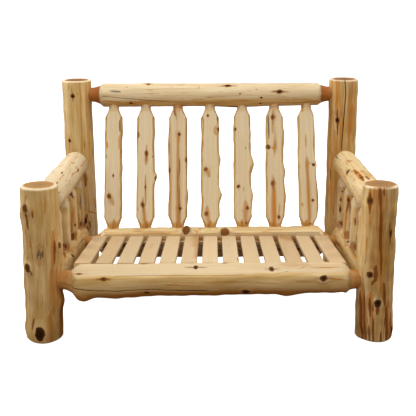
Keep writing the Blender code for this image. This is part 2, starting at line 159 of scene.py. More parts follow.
@dataclass(frozen=True)
class PhotoView:
    """The photograph's viewpoint, fitted to the posts' rims, the slats and the spindles."""

    place: tuple[float, float, float] = (0.0174, -3.7800, 1.4864)
    pitch: float = math.radians(15.624)
    yaw: float = math.radians(-0.4165)
    roll: float = math.radians(-0.2865)
    lens: float = 73.43
    sensor: float = 36.0
    side: int = 416

    def turn(self) -> Matrix:
        """Right, up and backward directions of the camera, as columns.

        Returns:
            A 3 by 3 matrix.
        """
        flat = math.cos(self.pitch)
        forward = Vector((math.sin(self.yaw) * flat, math.cos(self.yaw) * flat, -math.sin(self.pitch)))
        level = Vector((math.cos(self.yaw), -math.sin(self.yaw), 0.0))
        above = level.cross(forward)
        right = level * math.cos(self.roll) + above * math.sin(self.roll)
        up = above * math.cos(self.roll) - level * math.sin(self.roll)
        return Matrix((right, up, -forward)).transposed()

    def ray(self, x: float, y: float) -> tuple[Vector, Vector]:
        """The line of sight through a pixel.

        Args:
            x: Pixel column.
            y: Pixel row, from the top.

        Returns:
            The camera's place and the direction.
        """
        focal = self.side * self.lens / self.sensor
        half = self.side / 2
        aim = Vector(((x - half) / focal, (half - y) / focal, -1.0))
        return Vector(self.place), self.turn() @ aim

    def place_camera(self) -> bpy.types.Object:
        """Adds the camera and makes it the scene's.

        Returns:
            The camera.
        """
        lens = bpy.data.cameras.new("photo_camera")
        lens.lens = self.lens
        lens.sensor_width = self.sensor
        camera = bpy.data.objects.new("photo_camera", lens)
        matrix = self.turn().to_4x4()
        matrix.translation = Vector(self.place)
        camera.matrix_world = matrix
        bpy.context.scene.collection.objects.link(camera)
        bpy.context.scene.camera = camera
        return camera


VIEW = PhotoView()


class MarkColour(Enum):
    """A mark's colour, the channel that the mark is painted in; tan marks carry painted shade and painted
    light as well as the wood's own tones.
    """

    BROWN = 0
    ORANGE = 1
    GREY = 2
    TAN = 3


@dataclass(frozen=True)
class Knot:
    """A knot at a pixel: its core's radius, its look and the collar that rises round it."""

    x: float
    y: float
    core: float
    tone: float = 0.9
    tail: float = 0.5
    stretch: float = 1.0
    rise: float = 0.0
    reach: float = 0.03


@dataclass(frozen=True)
class ColourMark:
    """A coloured mark from one pixel to another, of a real width."""

    x: float
    y: float
    to_x: float
    to_y: float
    width: float
    depth: float = 0.8


@dataclass(frozen=True)
class Check:
    """A drying crack through the pixels named, of a real width and depth."""

    pixels: tuple[tuple[float, float], ...]
    width: float
    groove: float


@dataclass(frozen=True)
class Marks:
    """All that the photograph shows on one log."""

    knots: tuple[Knot, ...] = ()
    brown: tuple[ColourMark, ...] = ()
    orange: tuple[ColourMark, ...] = ()
    grey: tuple[ColourMark, ...] = ()
    tan: tuple[ColourMark, ...] = ()
    checks: tuple[Check, ...] = ()

    def stains(self) -> list[tuple[MarkColour, ColourMark]]:
        """Every coloured mark, with its kind: stains, and among the tan ones some painted shade and light.
        """
        groups = zip(MarkColour, (self.brown, self.orange, self.grey, self.tan))
        return [(kind, stain) for kind, group in groups for stain in group]


@dataclass(frozen=True)
class Scar:
    """A knot on its log: distance along from the near end, angle, and the knot's own sizes."""

    along: float
    angle: float
    knot: Knot


@dataclass(frozen=True)
class Swell:
    """A branch collar, as in the solids: place along the body (0 to 1), angle in degrees, reach and rise."""

    along: float
    angle: float
    reach: float
    rise: float


@dataclass(frozen=True)
class Flat:
    """A sawn or planed face: angle in degrees, depth below the log's radius and easing of its edges."""

    angle: float
    cut: float
    soft: float = SOFT_EDGE


@dataclass(frozen=True)
class Tenon:
    """A round tenon and its cone, measured in from the tip."""

    radius: float
    depth: float
    cone: float
    rise: float
    shoulder: float
    neck: float = 0.0
    curve: float = 1.7
    flare: float = 0.0

    @property
    def body(self) -> float:
        """Where the log's own form begins."""
        return self.depth + STANDOFF + self.neck + self.cone + self.shoulder

    def limit(self, inward: Array, full: float) -> Array:
        """The radius that the cutter leaves.

        Args:
            inward: Distances in from the tip.
            full: The log's own radius, which sets the shoulder's slope.

        Returns:
            The greatest radius at each distance.
        """
        start = self.depth + STANDOFF + self.neck
        share = np.clip((inward - start) / self.cone, 0, 1)
        steep = (full - self.radius - self.rise) / self.shoulder
        step = np.clip(inward - start - self.cone, 0, None) * max(steep, LEAST_SLOPE)
        tip = np.clip(TIP_CHAMFER - inward, 0, None)
        return self.radius + self.rise * share**self.curve + step - tip


def soft_min(a: Array, b: Array, blend: float) -> Array:
    """The smaller of two surfaces, with their edge eased over a width."""
    share = np.clip(0.5 + 0.5 * (b - a) / blend, 0, 1)
    return b + (a - b) * share - blend * share * (1 - share)


def smooth(low: float, high: float, value: Array) -> Array:
    """A smooth step from 0 at low to 1 at high."""
    share = np.clip((value - low) / (high - low), 0, 1)
    return share * share * (3 - 2 * share)


def node_points(node: str) -> Array:
    """The corner points of a CAD node, each once.

    Args:
        node: The CAD node's name.

    Returns:
        Rows of x, y and z.
    """
    mesh = bpy.data.objects[node].data
    points = np.empty(len(mesh.vertices) * 3, np.float32)
    mesh.vertices.foreach_get("co", points)
    return np.unique(points.reshape(-1, 3).round(5), axis=0).astype(float)


def axis_ends(node: str, sawn_level: bool = False) -> tuple[Vector, Vector]:
    """The middles of a CAD log's two end faces, low, left or front end first.

    Args:
        node: The CAD node.
        sawn_level: True for a post, whose end faces are level though it may lean.

    Returns:
        The two middles.
    """
    points = node_points(node)
    if sawn_level:
        low, high = points[:, 2].min(), points[:, 2].max()
        faces = [points[np.abs(points[:, 2] - level) < END_FACE] for level in (low, high)]
        return tuple(Vector((face.min(0) + face.max(0)) / 2) for face in faces)
    spread = points - points.mean(0)
    direction = np.linalg.svd(spread, full_matrices=False)[2][0]
    direction *= np.sign(direction[np.argmax(np.abs(direction))])
    for tolerance in (0.0030, 0.0012, 0.0006):
        along = points @ direction
        near = points[along < along.min() + tolerance].mean(0)
        far = points[along > along.max() - tolerance].mean(0)
        direction = (far - near) / np.linalg.norm(far - near)
    return Vector(near), Vector(far)


def store(mesh: bpy.types.Mesh, name: str, values: Array) -> None:
    """Keeps three numbers a vertex under a name that the finishes read."""
    attribute = mesh.attributes.new(name, "FLOAT_VECTOR", "POINT")
    attribute.data.foreach_set("vector", values.astype(np.float32).ravel())


def vertex_array(mesh: bpy.types.Mesh) -> Array:
    """A mesh's vertices as rows."""
    points = np.empty(len(mesh.vertices) * 3, np.float32)
    mesh.vertices.foreach_get("co", points)
    return points.reshape(-1, 3).astype(float)


def skin(name: str, rings: Array, caps: Sequence[float] = (0.66, 0.33)) -> bpy.types.Mesh:
    """A closed mesh over rings of points.

    Args:
        name: The mesh's name.
        rings: Points as (ring, column, xyz), turning the same way.
        caps: Sizes of the inner rings of each end face.

    Returns:
        The mesh, with its faces pointing out.
    """
    count = rings.shape[1]
    ends = []
    for ring in (rings[0], rings[-1]):
        middle = ring.mean(0)
        ends.append([middle + (ring - middle) * share for share in caps] + [np.tile(middle, (1, 1))])
    stack = [*reversed(ends[0][:-1]), *rings, *ends[1][:-1]]
    points = np.concatenate([*stack, ends[0][-1], ends[1][-1]])
    low = np.arange(count)
    turn = (low + 1) % count
    faces: list[list[int]] = []
    for i in range(len(stack) - 1):
        base, above = i * count, (i + 1) * count
        faces += np.stack((base + low, base + turn, above + turn, above + low), 1).tolist()
    first, last = len(points) - 2, len(points) - 1
    top = (len(stack) - 1) * count
    faces += np.stack((turn, low, np.full(count, first)), 1).tolist()
    faces += np.stack((top + low, top + turn, np.full(count, last)), 1).tolist()
    mesh = bpy.data.meshes.new(name)
    mesh.from_pydata(points.tolist(), [], faces)
    return mesh


def add_piece(name: str, mesh: bpy.types.Mesh) -> bpy.types.Object:
    """Puts a mesh into the scene as a piece."""
    piece = bpy.data.objects.new(name, mesh)
    bpy.context.scene.collection.objects.link(piece)
    return piece


def dress(piece: bpy.types.Object, node: str, finish: CedarFinish | ZincFinish,
          sharp: float = SHARP) -> None:
    """Smooths a piece, gives it its finish, ties it to its body and hides the CAD node that it stands for.

    Args:
        piece: The piece.
        node: The CAD node that it stands for.
        finish: What it is made of.
        sharp: The angle above which an edge stays sharp.
    """
    mesh = piece.data
    mesh.shade_smooth()
    mesh.set_sharp_from_angle(angle=sharp)
    mesh.materials.append(finish.material())
    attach(piece, "root")
    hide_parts(node)
    LOG.info("%s: %d faces", piece.name, len(mesh.polygons))


def lathe(profile: Sequence[tuple[float, float]], sides: int) -> Array:
    """Rings of points about the Z axis, from pairs of height and radius."""
    turns = TAU * np.arange(sides) / sides
    return np.array([[(r * math.cos(t), r * math.sin(t), s) for t in turns] for s, r in profile])


def turn_from(middle: Array | float, angle: Array) -> Array:
    """The angle from a middle, between half a turn back and half a turn on."""
    return np.remainder(angle - middle + math.pi, TAU) - math.pi


def cut_away(piece: bpy.types.Object, cutters: Sequence[bpy.types.Mesh]) -> None:
    """Takes closed meshes out of a piece and keeps the result as its mesh.

    Args:
        piece: The piece that is cut.
        cutters: The closed meshes.
    """
    for cutter_mesh in cutters:
        cutter = bpy.data.objects.new("cutter", cutter_mesh)
        bpy.context.scene.collection.objects.link(cutter)
        cut = piece.modifiers.new("cut", "BOOLEAN")
        cut.operation = "DIFFERENCE"
        cut.solver = "MANIFOLD"
        cut.object = cutter
    shown = piece.evaluated_get(bpy.context.evaluated_depsgraph_get())
    mesh = bpy.data.meshes.new_from_object(shown)
    mesh.materials.clear()
    for cut in list(piece.modifiers):
        bpy.data.objects.remove(cut.object)
    piece.modifiers.clear()
    old = piece.data
    piece.data = mesh
    bpy.data.meshes.remove(old)


@dataclass
class DressedLog:
    """A peeled log on its CAD node's axis, with its own taper, waves, knots and cuts."""

    node: str
    radius: float
    girth: tuple[float, float] = (1.0, 1.0)
    tenons: tuple[Tenon, Tenon] | None = None
    flats: tuple[Flat, ...] = ()
    swells: tuple[Swell, ...] = ()
    drift: tuple[tuple[float, float], tuple[float, float]] = STRAIGHT
    rim: float = 0.008
    sway: float = 0.0006
    heart: float = 0.70
    heart_tone: float = 0.6
    fleck: float = 0.3
    tan: float = 0.2
    streak: float = 0.4
    turned_tone: float = 0.5
    turned_share: tuple[float, float] = (1.0, 1.0)
    planed: float = 1.0
    marks: Marks = Marks()
    wild: int = 5
    seed: int = 1
    mortises: list[bpy.types.Mesh] = field(default_factory=list)

    def __post_init__(self) -> None:
        """Finds the log's axis in the frame and casts its marks on to it."""
        self.start, self.end = axis_ends(self.node, self.tenons is None)
        reach = self.end - self.start
        if self.tenons:
            self.length = reach.length
            along = reach.normalized()
            side = Vector((0, 1, 0)) if abs(along.z) > 0.8 else Vector((0, 0, 1))
            across = side.cross(along).normalized()
            columns = (across, along.cross(across), along)
            self.first, self.last = self.tenons[0].body, self.length - self.tenons[1].body
        else:
            self.length = reach.z
            columns = (Vector((1, 0, 0)), Vector((0, 1, 0)), reach / reach.z)
            self.first, self.last = self.rim, self.length - self.rim
        self.matrix = Matrix.Translation(self.start) @ Matrix(columns).transposed().to_4x4()
        self.scars = [Scar(*self.cast(knot.x, knot.y), knot) for knot in self.marks.knots]
        self.scars += self.wild_scars()
        self.cracks = [(check, [self.cast(*pixel) for pixel in check.pixels]) for check in self.marks.checks]

    def radius_at(self, along: Array | float) -> Array | float:
        """The tapered radius at a distance along the log."""
        share = (along - self.first) / (self.last - self.first)
        return self.radius * (self.girth[0] + (self.girth[1] - self.girth[0]) * share)

    def cast(self, x: float, y: float) -> tuple[float, float]:
        """Where a pixel's line of sight meets the log.

        Args:
            x: Pixel column.
            y: Pixel row.

        Returns:
            Distance along the log and angle in radians.
        """
        inverse = self.matrix.inverted()
        place, aim = VIEW.ray(x, y)
        eye = inverse @ place
        aim = inverse.to_3x3() @ aim
        flat_eye, flat_aim = eye.xy, aim.xy
        radius = self.radius
        point = eye
        for _ in range(4):
            a = flat_aim.dot(flat_aim)
            b = flat_eye.dot(flat_aim)
            c = flat_eye.dot(flat_eye) - radius * radius
            point = eye + aim * ((-b - math.sqrt(max(b * b - a * c, 0.0))) / a)
            radius = self.radius_at(point.z)
        for flat in self.flats:
            turn = math.radians(flat.angle)
            normal = Vector((math.cos(turn), math.sin(turn)))
            if point.xy.dot(normal) > self.radius - flat.cut:
                point = eye + aim * ((self.radius - flat.cut - flat_eye.dot(normal)) / flat_aim.dot(normal))
        return point.z, math.atan2(point.y, point.x)

    def wild_scars(self) -> list[Scar]:
        """Knots on the sides that the photograph doesn't show, spread along the log.

        Returns:
            The scars.
        """
        rng = random.Random(self.seed + 500)
        inverse = self.matrix.inverted().to_3x3()
        away = inverse @ Vector((0.0, 1.0, -0.25))
        behind = math.atan2(away.y, away.x)
        scars = []
        for i in range(self.wild):
            share = (i + rng.uniform(0.2, 0.8)) / self.wild
            angle = behind + math.radians(rng.uniform(-HIDDEN_SIDE, HIDDEN_SIDE))
            core = rng.uniform(*HIDDEN_CORES)
            knot = Knot(0, 0, core, tone=rng.uniform(0.5, 1.0), tail=rng.uniform(0.2, 0.9),
                        stretch=rng.uniform(1.0, 1.6), rise=rng.uniform(0.0, 0.0025), reach=0.028)
            scars.append(Scar(self.first + (self.last - self.first) * share, angle, knot))
        return scars

    def crack_distance(self, cells: list[tuple[float, float]], along: Array,
                       angle: Array) -> tuple:
        """Distances from a crack on the log's surface.

        Args:
            cells: The crack's (along, angle) points.
            along: Distances along the log.
            angle: Angles round it.

        Returns:
            Signed distance across the crack, and 1 where it runs, fading to 0 past its ends.
        """
        stations = np.array([cell[0] for cell in cells])
        turns = np.unwrap([cell[1] for cell in cells])
        order = np.argsort(stations)
        middle = np.interp(along, stations[order], turns[order])
        across = turn_from(middle, angle)
        inside = smooth(0, CRACK_FADE, along - stations.min())
        if self.tenons:
            inside = inside * smooth(0, CRACK_FADE, stations.max() - along)
        return across * self.radius, inside * (np.abs(across) < CRACK_SIDE)

    def natural(self, along: Array, angle: Array) -> Array:
        """The peeled log's own radius: taper, slow waves, branch collars and drying cracks.

        Args:
            along: Distances along the log.
            angle: Angles round it.

        Returns:
            The radius at each point.
        """
        radius = self.radius_at(along) + 0.0 * angle
        rng = random.Random(self.seed)
        for turns in WAVE_TURNS:
            wave, phase = rng.uniform(*WAVE_LENGTHS), rng.uniform(0, TAU)
            radius = radius + self.sway * np.cos(turns * angle + TAU * along / wave + phase)
        collars = [(self.first + (self.last - self.first) * s.along, math.radians(s.angle), s.reach, s.rise)
                   for s in self.swells]
        collars += [(s.along, s.angle, s.knot.reach, s.knot.rise) for s in self.scars if s.knot.rise]
        for place, middle, reach, rise in collars:
            turn = turn_from(middle, angle)
            apart = np.hypot(turn * self.radius, along - place) / reach
            radius = radius + rise * np.exp(-2.0 * apart * apart)
        for scar in self.scars:
            turn = turn_from(scar.angle, angle)
            apart = np.hypot(turn * self.radius, (along - scar.along) / scar.knot.stretch) / scar.knot.core
            radius = radius - DISH * scar.knot.core * np.exp(-((apart / DISH_SHARE) ** 4))
        for check, cells in self.cracks:
            across, inside = self.crack_distance(cells, along, angle)
            radius = radius - check.groove * inside * np.exp(-((across / check.width) ** 2))
        return radius

    def turned(self, along: Array, angle: Array) -> Array:
        """The natural radius, cut down to the tenons or eased at a post's rims.

        Args:
            along: Distances along the log.
            angle: Angles round it.

        Returns:
            The radius at each point.
        """
        radius = self.natural(along, angle)
        if self.tenons:
            for tenon, inward in zip(self.tenons, (along, self.length - along)):
                below = np.clip(np.cos(angle - UNDERSIDE), 0, None)
                flare = tenon.flare * below * smooth(tenon.depth, tenon.body, inward)
                radius = soft_min(radius, tenon.limit(inward, self.radius) + flare, SOFT_SHOULDER)
            return radius
        for inward in (along, self.length - along):
            share = 1 - np.clip(inward / self.rim, 0, 1)
            radius = radius - self.rim * (1 - np.sqrt(1 - share * share * RIM_ROUND))
        return radius

    def stations(self) -> Array:
        """Distances of the rings, closer together on turned ends and rims.

        Returns:
            Distances from the near end, in order.
        """
        if self.tenons:
            near = np.arange(0.0, self.first + PAST_SHOULDER, TURNED_STEP)
        else:
            near = np.arange(0.0, self.rim * PAST_RIM, RIM_STEP)
        far = self.length - near
        body = np.linspace(near[-1], far[-1], max(4, round((far[-1] - near[-1]) / STEP)))
        return np.concatenate((near, body[1:-1], far[::-1]))

    def columns(self, along: Array) -> Array:
        """Angles of every ring's points, drawn to the edges of the flats so that those run true.

        Args:
            along: The rings' distances.

        Returns:
            A row of angles for each ring.
        """
        count = round(TAU * self.radius / STEP)
        even = TAU * np.arange(count) / count
        angles = np.tile(even, (len(along), 1))
        if not self.flats:
            return angles
        anchors: list[tuple[float, Array]] = []
        for flat in self.flats:
            middle = math.radians(flat.angle)
            reach = self.radius - flat.cut
            half = math.acos(reach / self.radius)
            anchors.append((middle, np.full(len(along), middle)))
            for side in (-1, 1):
                edge = np.full(len(along), half)
                for _ in range(EDGE_ROUNDS):
                    body = self.turned(along, middle + side * edge)
                    edge = 0.5 * edge + 0.5 * np.arccos(np.clip(reach / body, -1, math.cos(NARROWEST)))
                anchors.append((middle + side * half, middle + side * edge))
        step = TAU / count
        anchors.sort(key=lambda anchor: anchor[0])
        known = np.array([round(a[0] / step) * step for a in anchors])
        found = np.array([a[1] for a in anchors])
        for i in range(1, len(found)):
            found[i] = np.maximum(found[i], found[i - 1] + 0.5 * step)
        known = np.concatenate((known - TAU, known, known + TAU))
        for i in range(len(along)):
            ring = found[:, i]
            angles[i] = np.interp(even, known, np.concatenate((ring - TAU, ring, ring + TAU)))
        return angles

    def plane(self, flat: Flat, angle: Array) -> Array:
        """The radius at which a sawn face lies."""
        facing = np.cos(angle - math.radians(flat.angle))
        return np.where(facing > FACING, (self.radius - flat.cut) / np.maximum(facing, FACING), NO_FLAT)

    def surface(self, along: Array, angle: Array) -> Array:
        """The finished radius, with its sawn faces.

        Args:
            along: Distances along the log.
            angle: Angles round it.

        Returns:
            The radius at each point.
        """
        radius = self.turned(along, angle)
        for flat in self.flats:
            radius = soft_min(radius, self.plane(flat, angle), flat.soft)
        return radius

    def middle(self, along: Array) -> Array:
        """How far the pith wanders off the axis, as (x, y) rows.

        Args:
            along: Distances along the log.

        Returns:
            A row for each distance.
        """
        share = np.clip((along - self.first) / (self.last - self.first), 0, 1)
        ends = np.array(self.drift)
        drift = ends[0] + (ends[1] - ends[0]) * share[:, None]
        if not self.tenons:
            return drift
        inside = np.minimum(along - self.first, self.last - along)
        return drift * smooth(*PITH_FADE, inside)[:, None]

    def build(self) -> bpy.types.Object:
        """Makes the log's mesh, bores its mortises and paints its marks.

        Returns:
            The dressed piece.
        """
        along = self.stations()
        angle = self.columns(along)
        radius = self.surface(along[:, None], angle)
        pith = self.middle(along)
        rings = np.stack((pith[:, :1] + radius * np.cos(angle), pith[:, 1:] + radius * np.sin(angle),
                          np.repeat(along[:, None], angle.shape[1], 1)), 2)
        mesh = skin(self.node, self.in_frame(rings))
        piece = add_piece(self.node.replace("post", "peeled_post") + "_log", mesh)
        if self.mortises:
            cut_away(piece, self.mortises)
        self.paint(piece.data)
        dress(piece, self.node, PEELED)
        return piece

    def in_frame(self, points: Array) -> Array:
        """Points given along the log's own axes, in the part's frame."""
        matrix = np.array(self.matrix)
        return points @ matrix[:3, :3].T + matrix[:3, 3]

    def mortise(self, far: bool) -> bpy.types.Mesh:
        """The hole that one of the tenons needs, as a closed mesh.

        Args:
            far: Which end.

        Returns:
            A turned plug a clearance larger than the tenon, open past its mouth.
        """
        tenon = self.tenons[1 if far else 0]
        hole = tenon.radius + CLEARANCE
        profile = [(-CLEARANCE, hole - TIP_CHAMFER), (TIP_CHAMFER - CLEARANCE, hole),
                   (tenon.depth + tenon.radius, hole)]
        if far:
            profile = [(self.length - s, r) for s, r in reversed(profile)]
        return skin("mortise", self.in_frame(lathe(profile, MORTISE_SIDES)), caps=())

    def paint(self, mesh: bpy.types.Mesh) -> None:
        """Stores what the finish reads: grain, knots, stains with some painted shade and light, cracks, cuts
        and heartwood.

        Args:
            mesh: The log's mesh, with its mortises.
        """
        inverse = np.linalg.inv(np.array(self.matrix))
        local = vertex_array(mesh) @ inverse[:3, :3].T + inverse[:3, 3]
        along = local[:, 2]
        flat = local[:, :2] - self.middle(along)
        angle = np.arctan2(flat[:, 1], flat[:, 0])
        radius = np.hypot(flat[:, 0], flat[:, 1])
        natural = self.natural(along, angle)
        ease = max((face.soft for face in self.flats), default=SOFT_EDGE) - SOFT_EDGE
        cut = smooth(CUT_FROM + EASED_CUT[0] * ease, CUT_FULL + EASED_CUT[1] * ease, natural - radius)
        grain, knot, look, collar = self.paint_knots(flat, along, angle)
        store(mesh, "grain", grain)
        store(mesh, "knot", knot)
        store(mesh, "look", look)
        stain = self.paint_colour_marks(along, angle)
        store(mesh, "stain", stain[:, :3])
        crack = np.zeros((len(along), 3))
        crack[:, 0] = OFF_CRACK
        for check, cells in self.cracks:
            across, inside = self.crack_distance(cells, along, angle)
            nearer = (np.abs(across / check.width) < np.abs(crack[:, 0])) & (inside > 0)
            crack[nearer, 0] = across[nearer] / check.width
            crack[nearer, 1] = inside[nearer]
        crack[:, 0] = np.clip(crack[:, 0], -OFF_CRACK, OFF_CRACK)
        crack[:, 2] = self.sawn(along)
        store(mesh, "crack", crack)
        plain = np.ones(len(along))
        near, far = along < self.first, along > self.last
        if self.tenons:
            near, far = smooth(*CONE_FADE, along - self.first), smooth(*CONE_FADE, self.last - along)
        turned = np.maximum(near * self.turned_share[0],
                            far * self.turned_share[1]) * self.cut_by_cone(along, angle)
        for share, inward in zip(self.turned_share, (along - self.first, self.last - along)):
            turned = np.maximum(turned, share * smooth(*NECK_FADE, inward))
        bevel = 0.0 * turned
        if self.tenons and self.tenons[0].shoulder > PALE_SHOULDER:
            bevel = turned * smooth(*BEVEL_SHARE, radius / self.radius)
        turned = cut * (turned - bevel)
        store(mesh, "tint", np.stack((cut * self.planed * (1 - bevel), self.fleck * plain, turned), 1))
        store(mesh, "habit", np.stack((self.heart * self.radius * plain, self.heart_tone * plain,
                                       self.streak * plain), 1))
        store(mesh, "hue", np.stack((stain[:, 3], collar, self.turned_tone * plain), 1))

    def sawn(self, along: Array) -> Array:
        """Whether each point lies on one of the sawn end faces."""
        return (along < END_FACE) | (along > self.length - END_FACE)

    def cut_by_cone(self, along: Array, angle: Array) -> Array:
        """1 where the tenon cutter left the surface, 0 where a sawn face lies deeper.

        Args:
            along: Distances along the log.
            angle: Angles round it.

        Returns:
            The share at each point.
        """
        if not self.tenons or not self.flats:
            return np.ones(len(along))
        limit = np.minimum(self.tenons[0].limit(along, self.radius),
                           self.tenons[1].limit(self.length - along, self.radius))
        deepest = np.min([self.plane(flat, angle) for flat in self.flats], axis=0)
        return smooth(*CONE_EDGE, deepest - limit)

    def paint_knots(self, flat: Array, along: Array, angle: Array) -> tuple:
        """Works out each vertex's place on its nearest knot, and the grain that flows round the knots.

        Args:
            flat: Points across the log, from the pith.
            along: Distances along it.
            angle: Angles round it.

        Returns:
            Grain places, knot places (across, along, share shown), looks (tone, tail, rank) and collars.
        """
        count = len(along)
        grain = np.concatenate((flat, along[:, None] + GRAIN_SHIFT * self.seed), 1)
        knot = np.zeros((count, 3))
        look = np.zeros((count, 3))
        collar = np.zeros(count)
        best = np.full(count, FAR_OFF)
        second = np.full(count, FAR_OFF)
        for rank, scar in enumerate(self.scars):
            turn = np.array((-math.sin(scar.angle), math.cos(scar.angle)))
            out = np.array((math.cos(scar.angle), math.sin(scar.angle)))
            centre = self.surface(np.array([scar.along]), np.array([scar.angle]))[0]
            lateral, depth = flat @ turn, flat @ out - centre
            lengthwise = along - scar.along
            facing = depth > -centre
            core = scar.knot.core
            ring = np.hypot(np.hypot(lateral, lengthwise), depth)
            spread = SWERVE[0] * core + SWERVE[1] * scar.knot.rise
            shift = -lateral * spread**2 / np.maximum(ring, spread) ** 2 * facing
            grain[:, :2] += shift[:, None] * turn
            u = np.copysign(np.hypot(lateral, depth), lateral) / core
            v = lengthwise / (core * scar.knot.stretch)
            measure = np.where(facing, np.hypot(u, v), FAR_OFF)
            nearer = measure < best
            second = np.where(nearer, best, np.minimum(second, measure))
            best = np.where(nearer, measure, best)
            knot[nearer, 0], knot[nearer, 1] = u[nearer], v[nearer]
            look[nearer] = (scar.knot.tone, scar.knot.tail, rank + RANK_SHIFT * self.seed)
            collar[nearer] = min(1.0, scar.knot.rise / FULL_COLLAR)
        knot[:, 2] = smooth(*KNOT_PARTING, second - best) * smooth(*KNOT_FADE, best)
        knot[:, :2] = np.clip(knot[:, :2], -KNOT_SPAN, KNOT_SPAN)
        return grain, knot, look, collar

    def paint_colour_marks(self, along: Array, angle: Array) -> Array:
        """How strongly each kind of coloured mark shows at every vertex, painted shade and light among them.

        Args:
            along: Distances along the log.
            angle: Angles round it.

        Returns:
            A row of levels for each vertex, in the order of MarkColour.
        """
        stain = np.zeros((len(along), len(MarkColour)))
        stain[:, MarkColour.TAN.value] = self.tan
        for kind, mark in self.marks.stains():
            near, far = self.cast(mark.x, mark.y), self.cast(mark.to_x, mark.to_y)
            turn = math.remainder(far[1] - near[1], TAU)
            across = turn_from(near[1], angle) * self.radius
            run = np.array((far[0] - near[0], turn * self.radius))
            reach = max(float(run @ run), 1e-8)
            share = np.clip(((along - near[0]) * run[0] + across * run[1]) / reach, 0, 1)
            apart = np.hypot(along - near[0] - share * run[0], across - share * run[1])
            taper = np.sqrt(np.clip(4 * share * (1 - share), LEAST_TAPER, 1))
            level = mark.depth * np.exp(-((apart / (STAIN_CORE * mark.width * taper)) ** 2))
            kept = stain[:, kind.value]
            level = np.where(self.sawn(along), 0.0, level)
            stronger = np.where(level > 0, np.maximum(kept, level), np.minimum(kept, level))
            stain[:, kind.value] = np.where(np.abs(level) > FAINT, stronger, kept)
        return stain


class Graph:
    """Wires one node tree, so that a finish reads as a list of steps."""

    def __init__(self, tree: bpy.types.NodeTree) -> None:
        """Starts on an empty tree."""
        self.tree = tree
        tree.nodes.clear()

    def node(self, kind: str, inputs: dict | None = None, **settings: object) -> bpy.types.Node:
        """Adds a shader node, with its settings, and feeds its inputs.

        Args:
            kind: The node's type name, without its prefix.
            inputs: Values or sockets by input name or number.
            settings: Properties of the node.

        Returns:
            The node.
        """
        node = self.tree.nodes.new("ShaderNode" + kind)
        for name, value in settings.items():
            setattr(node, name, value)
        for key, value in (inputs or {}).items():
            self.feed(node.inputs[key], value)
        return node

    def feed(self, target: Socket, value: object) -> None:
        """Links a socket, or sets a value, on an input.

        Args:
            target: The input.
            value: A socket, a number or a colour.
        """
        if isinstance(value, bpy.types.NodeSocket):
            self.tree.links.new(value, target)
        elif isinstance(value, tuple) and len(value) == 3 and target.type == "RGBA":
            target.default_value = (*value, 1.0)
        else:
            target.default_value = value

    def math(self, operation: str, a: object, b: object = 0.0) -> Socket:
        """The result of a math node on one or two values."""
        return self.node("Math", {0: a, 1: b}, operation=operation).outputs[0]

    def plus(self, a: object, b: object) -> Socket:
        """The sum of two values."""
        return self.math("ADD", a, b)

    def minus(self, a: object, b: object) -> Socket:
        """The first value less the second."""
        return self.math("SUBTRACT", a, b)

    def times(self, a: object, b: object) -> Socket:
        """The product of two values."""
        return self.math("MULTIPLY", a, b)

    def step(self, value: object, low: float, high: float) -> Socket:
        """A smooth step from 0 at low to 1 at high; low may be the greater.

        Args:
            value: What is measured.
            low: Where the step starts.
            high: Where it ends.

        Returns:
            The step's output.
        """
        inputs = {"Value": value, "From Min": min(low, high), "From Max": max(low, high)}
        if low > high:
            inputs |= {"To Min": 1.0, "To Max": 0.0}
        return self.node("MapRange", inputs, interpolation_type="SMOOTHSTEP").outputs[0]

    def mix(self, share: object, a: object, b: object) -> Socket:
        """A colour between two colours."""
        return self.node("Mix", {0: share, 6: a, 7: b}, data_type="RGBA").outputs[2]

    def scaled(self, vector: Socket, factors: Colour) -> Socket:
        """A vector multiplied axis by axis."""
        return self.node("VectorMath", {0: vector, 1: factors}, operation="MULTIPLY").outputs[0]

    def across(self, vector: Socket) -> Socket:
        """A vector's length in its first two axes."""
        flat = self.scaled(vector, (1, 1, 0))
        return self.node("VectorMath", {0: flat}, operation="LENGTH").outputs["Value"]

    def noise(self, vector: Socket, detail: float, roughness: float = 0.55,
              distortion: float = 0.0) -> Socket:
        """Noise at unit scale of a vector."""
        inputs = {"Vector": vector, "Scale": 1.0, "Detail": detail, "Roughness": roughness,
                  "Distortion": distortion}
        return self.node("TexNoise", inputs).outputs[0]

    def stored(self, name: str) -> Socket:
        """The three numbers kept under a name on the mesh."""
        return self.node("Attribute", attribute_name=name).outputs["Vector"]

    def parts(self, vector: Socket) -> tuple[Socket, Socket, Socket]:
        """The three numbers of a vector."""
        outputs = self.node("SeparateXYZ", {0: vector}).outputs
        return outputs[0], outputs[1], outputs[2]

    def placed(self, group: bpy.types.NodeTree, **inputs: object) -> Sockets:
        """Puts a shared effect into this tree and gives its outputs.

        Args:
            group: The effect.
            inputs: Values or sockets by input name.

        Returns:
            The outputs by name.
        """
        node = self.tree.nodes.new("ShaderNodeGroup")
        node.node_tree = group
        for name, value in inputs.items():
            self.feed(node.inputs[name], value)
        return node.outputs


class Effect:
    """A shared shader effect: a node group with named inputs and outputs, built once."""

    def __init__(self, name: str, inputs: dict[str, str], outputs: Sequence[str]) -> None:
        """Makes the group and its sockets.

        Args:
            name: The group's name.
            inputs: Socket kind by input name.
            outputs: Names of the values that it gives.
        """
        self.tree = bpy.data.node_groups.new(name, "ShaderNodeTree")
        self.graph = Graph(self.tree)
        for label, kind in inputs.items():
            self.tree.interface.new_socket(name=label, in_out="INPUT", socket_type="NodeSocket" + kind)
        for label in outputs:
            self.tree.interface.new_socket(name=label, in_out="OUTPUT", socket_type="NodeSocketFloat")
        self.given = self.tree.nodes.new("NodeGroupInput").outputs
        self.result = self.tree.nodes.new("NodeGroupOutput").inputs

    def give(self, **values: Socket) -> bpy.types.NodeTree:
        """Connects the outputs and returns the group.

        Args:
            values: Sockets by output name.

        Returns:
            The node group.
        """
        for name, socket in values.items():
            self.tree.links.new(socket, self.result[name])
        return self.tree


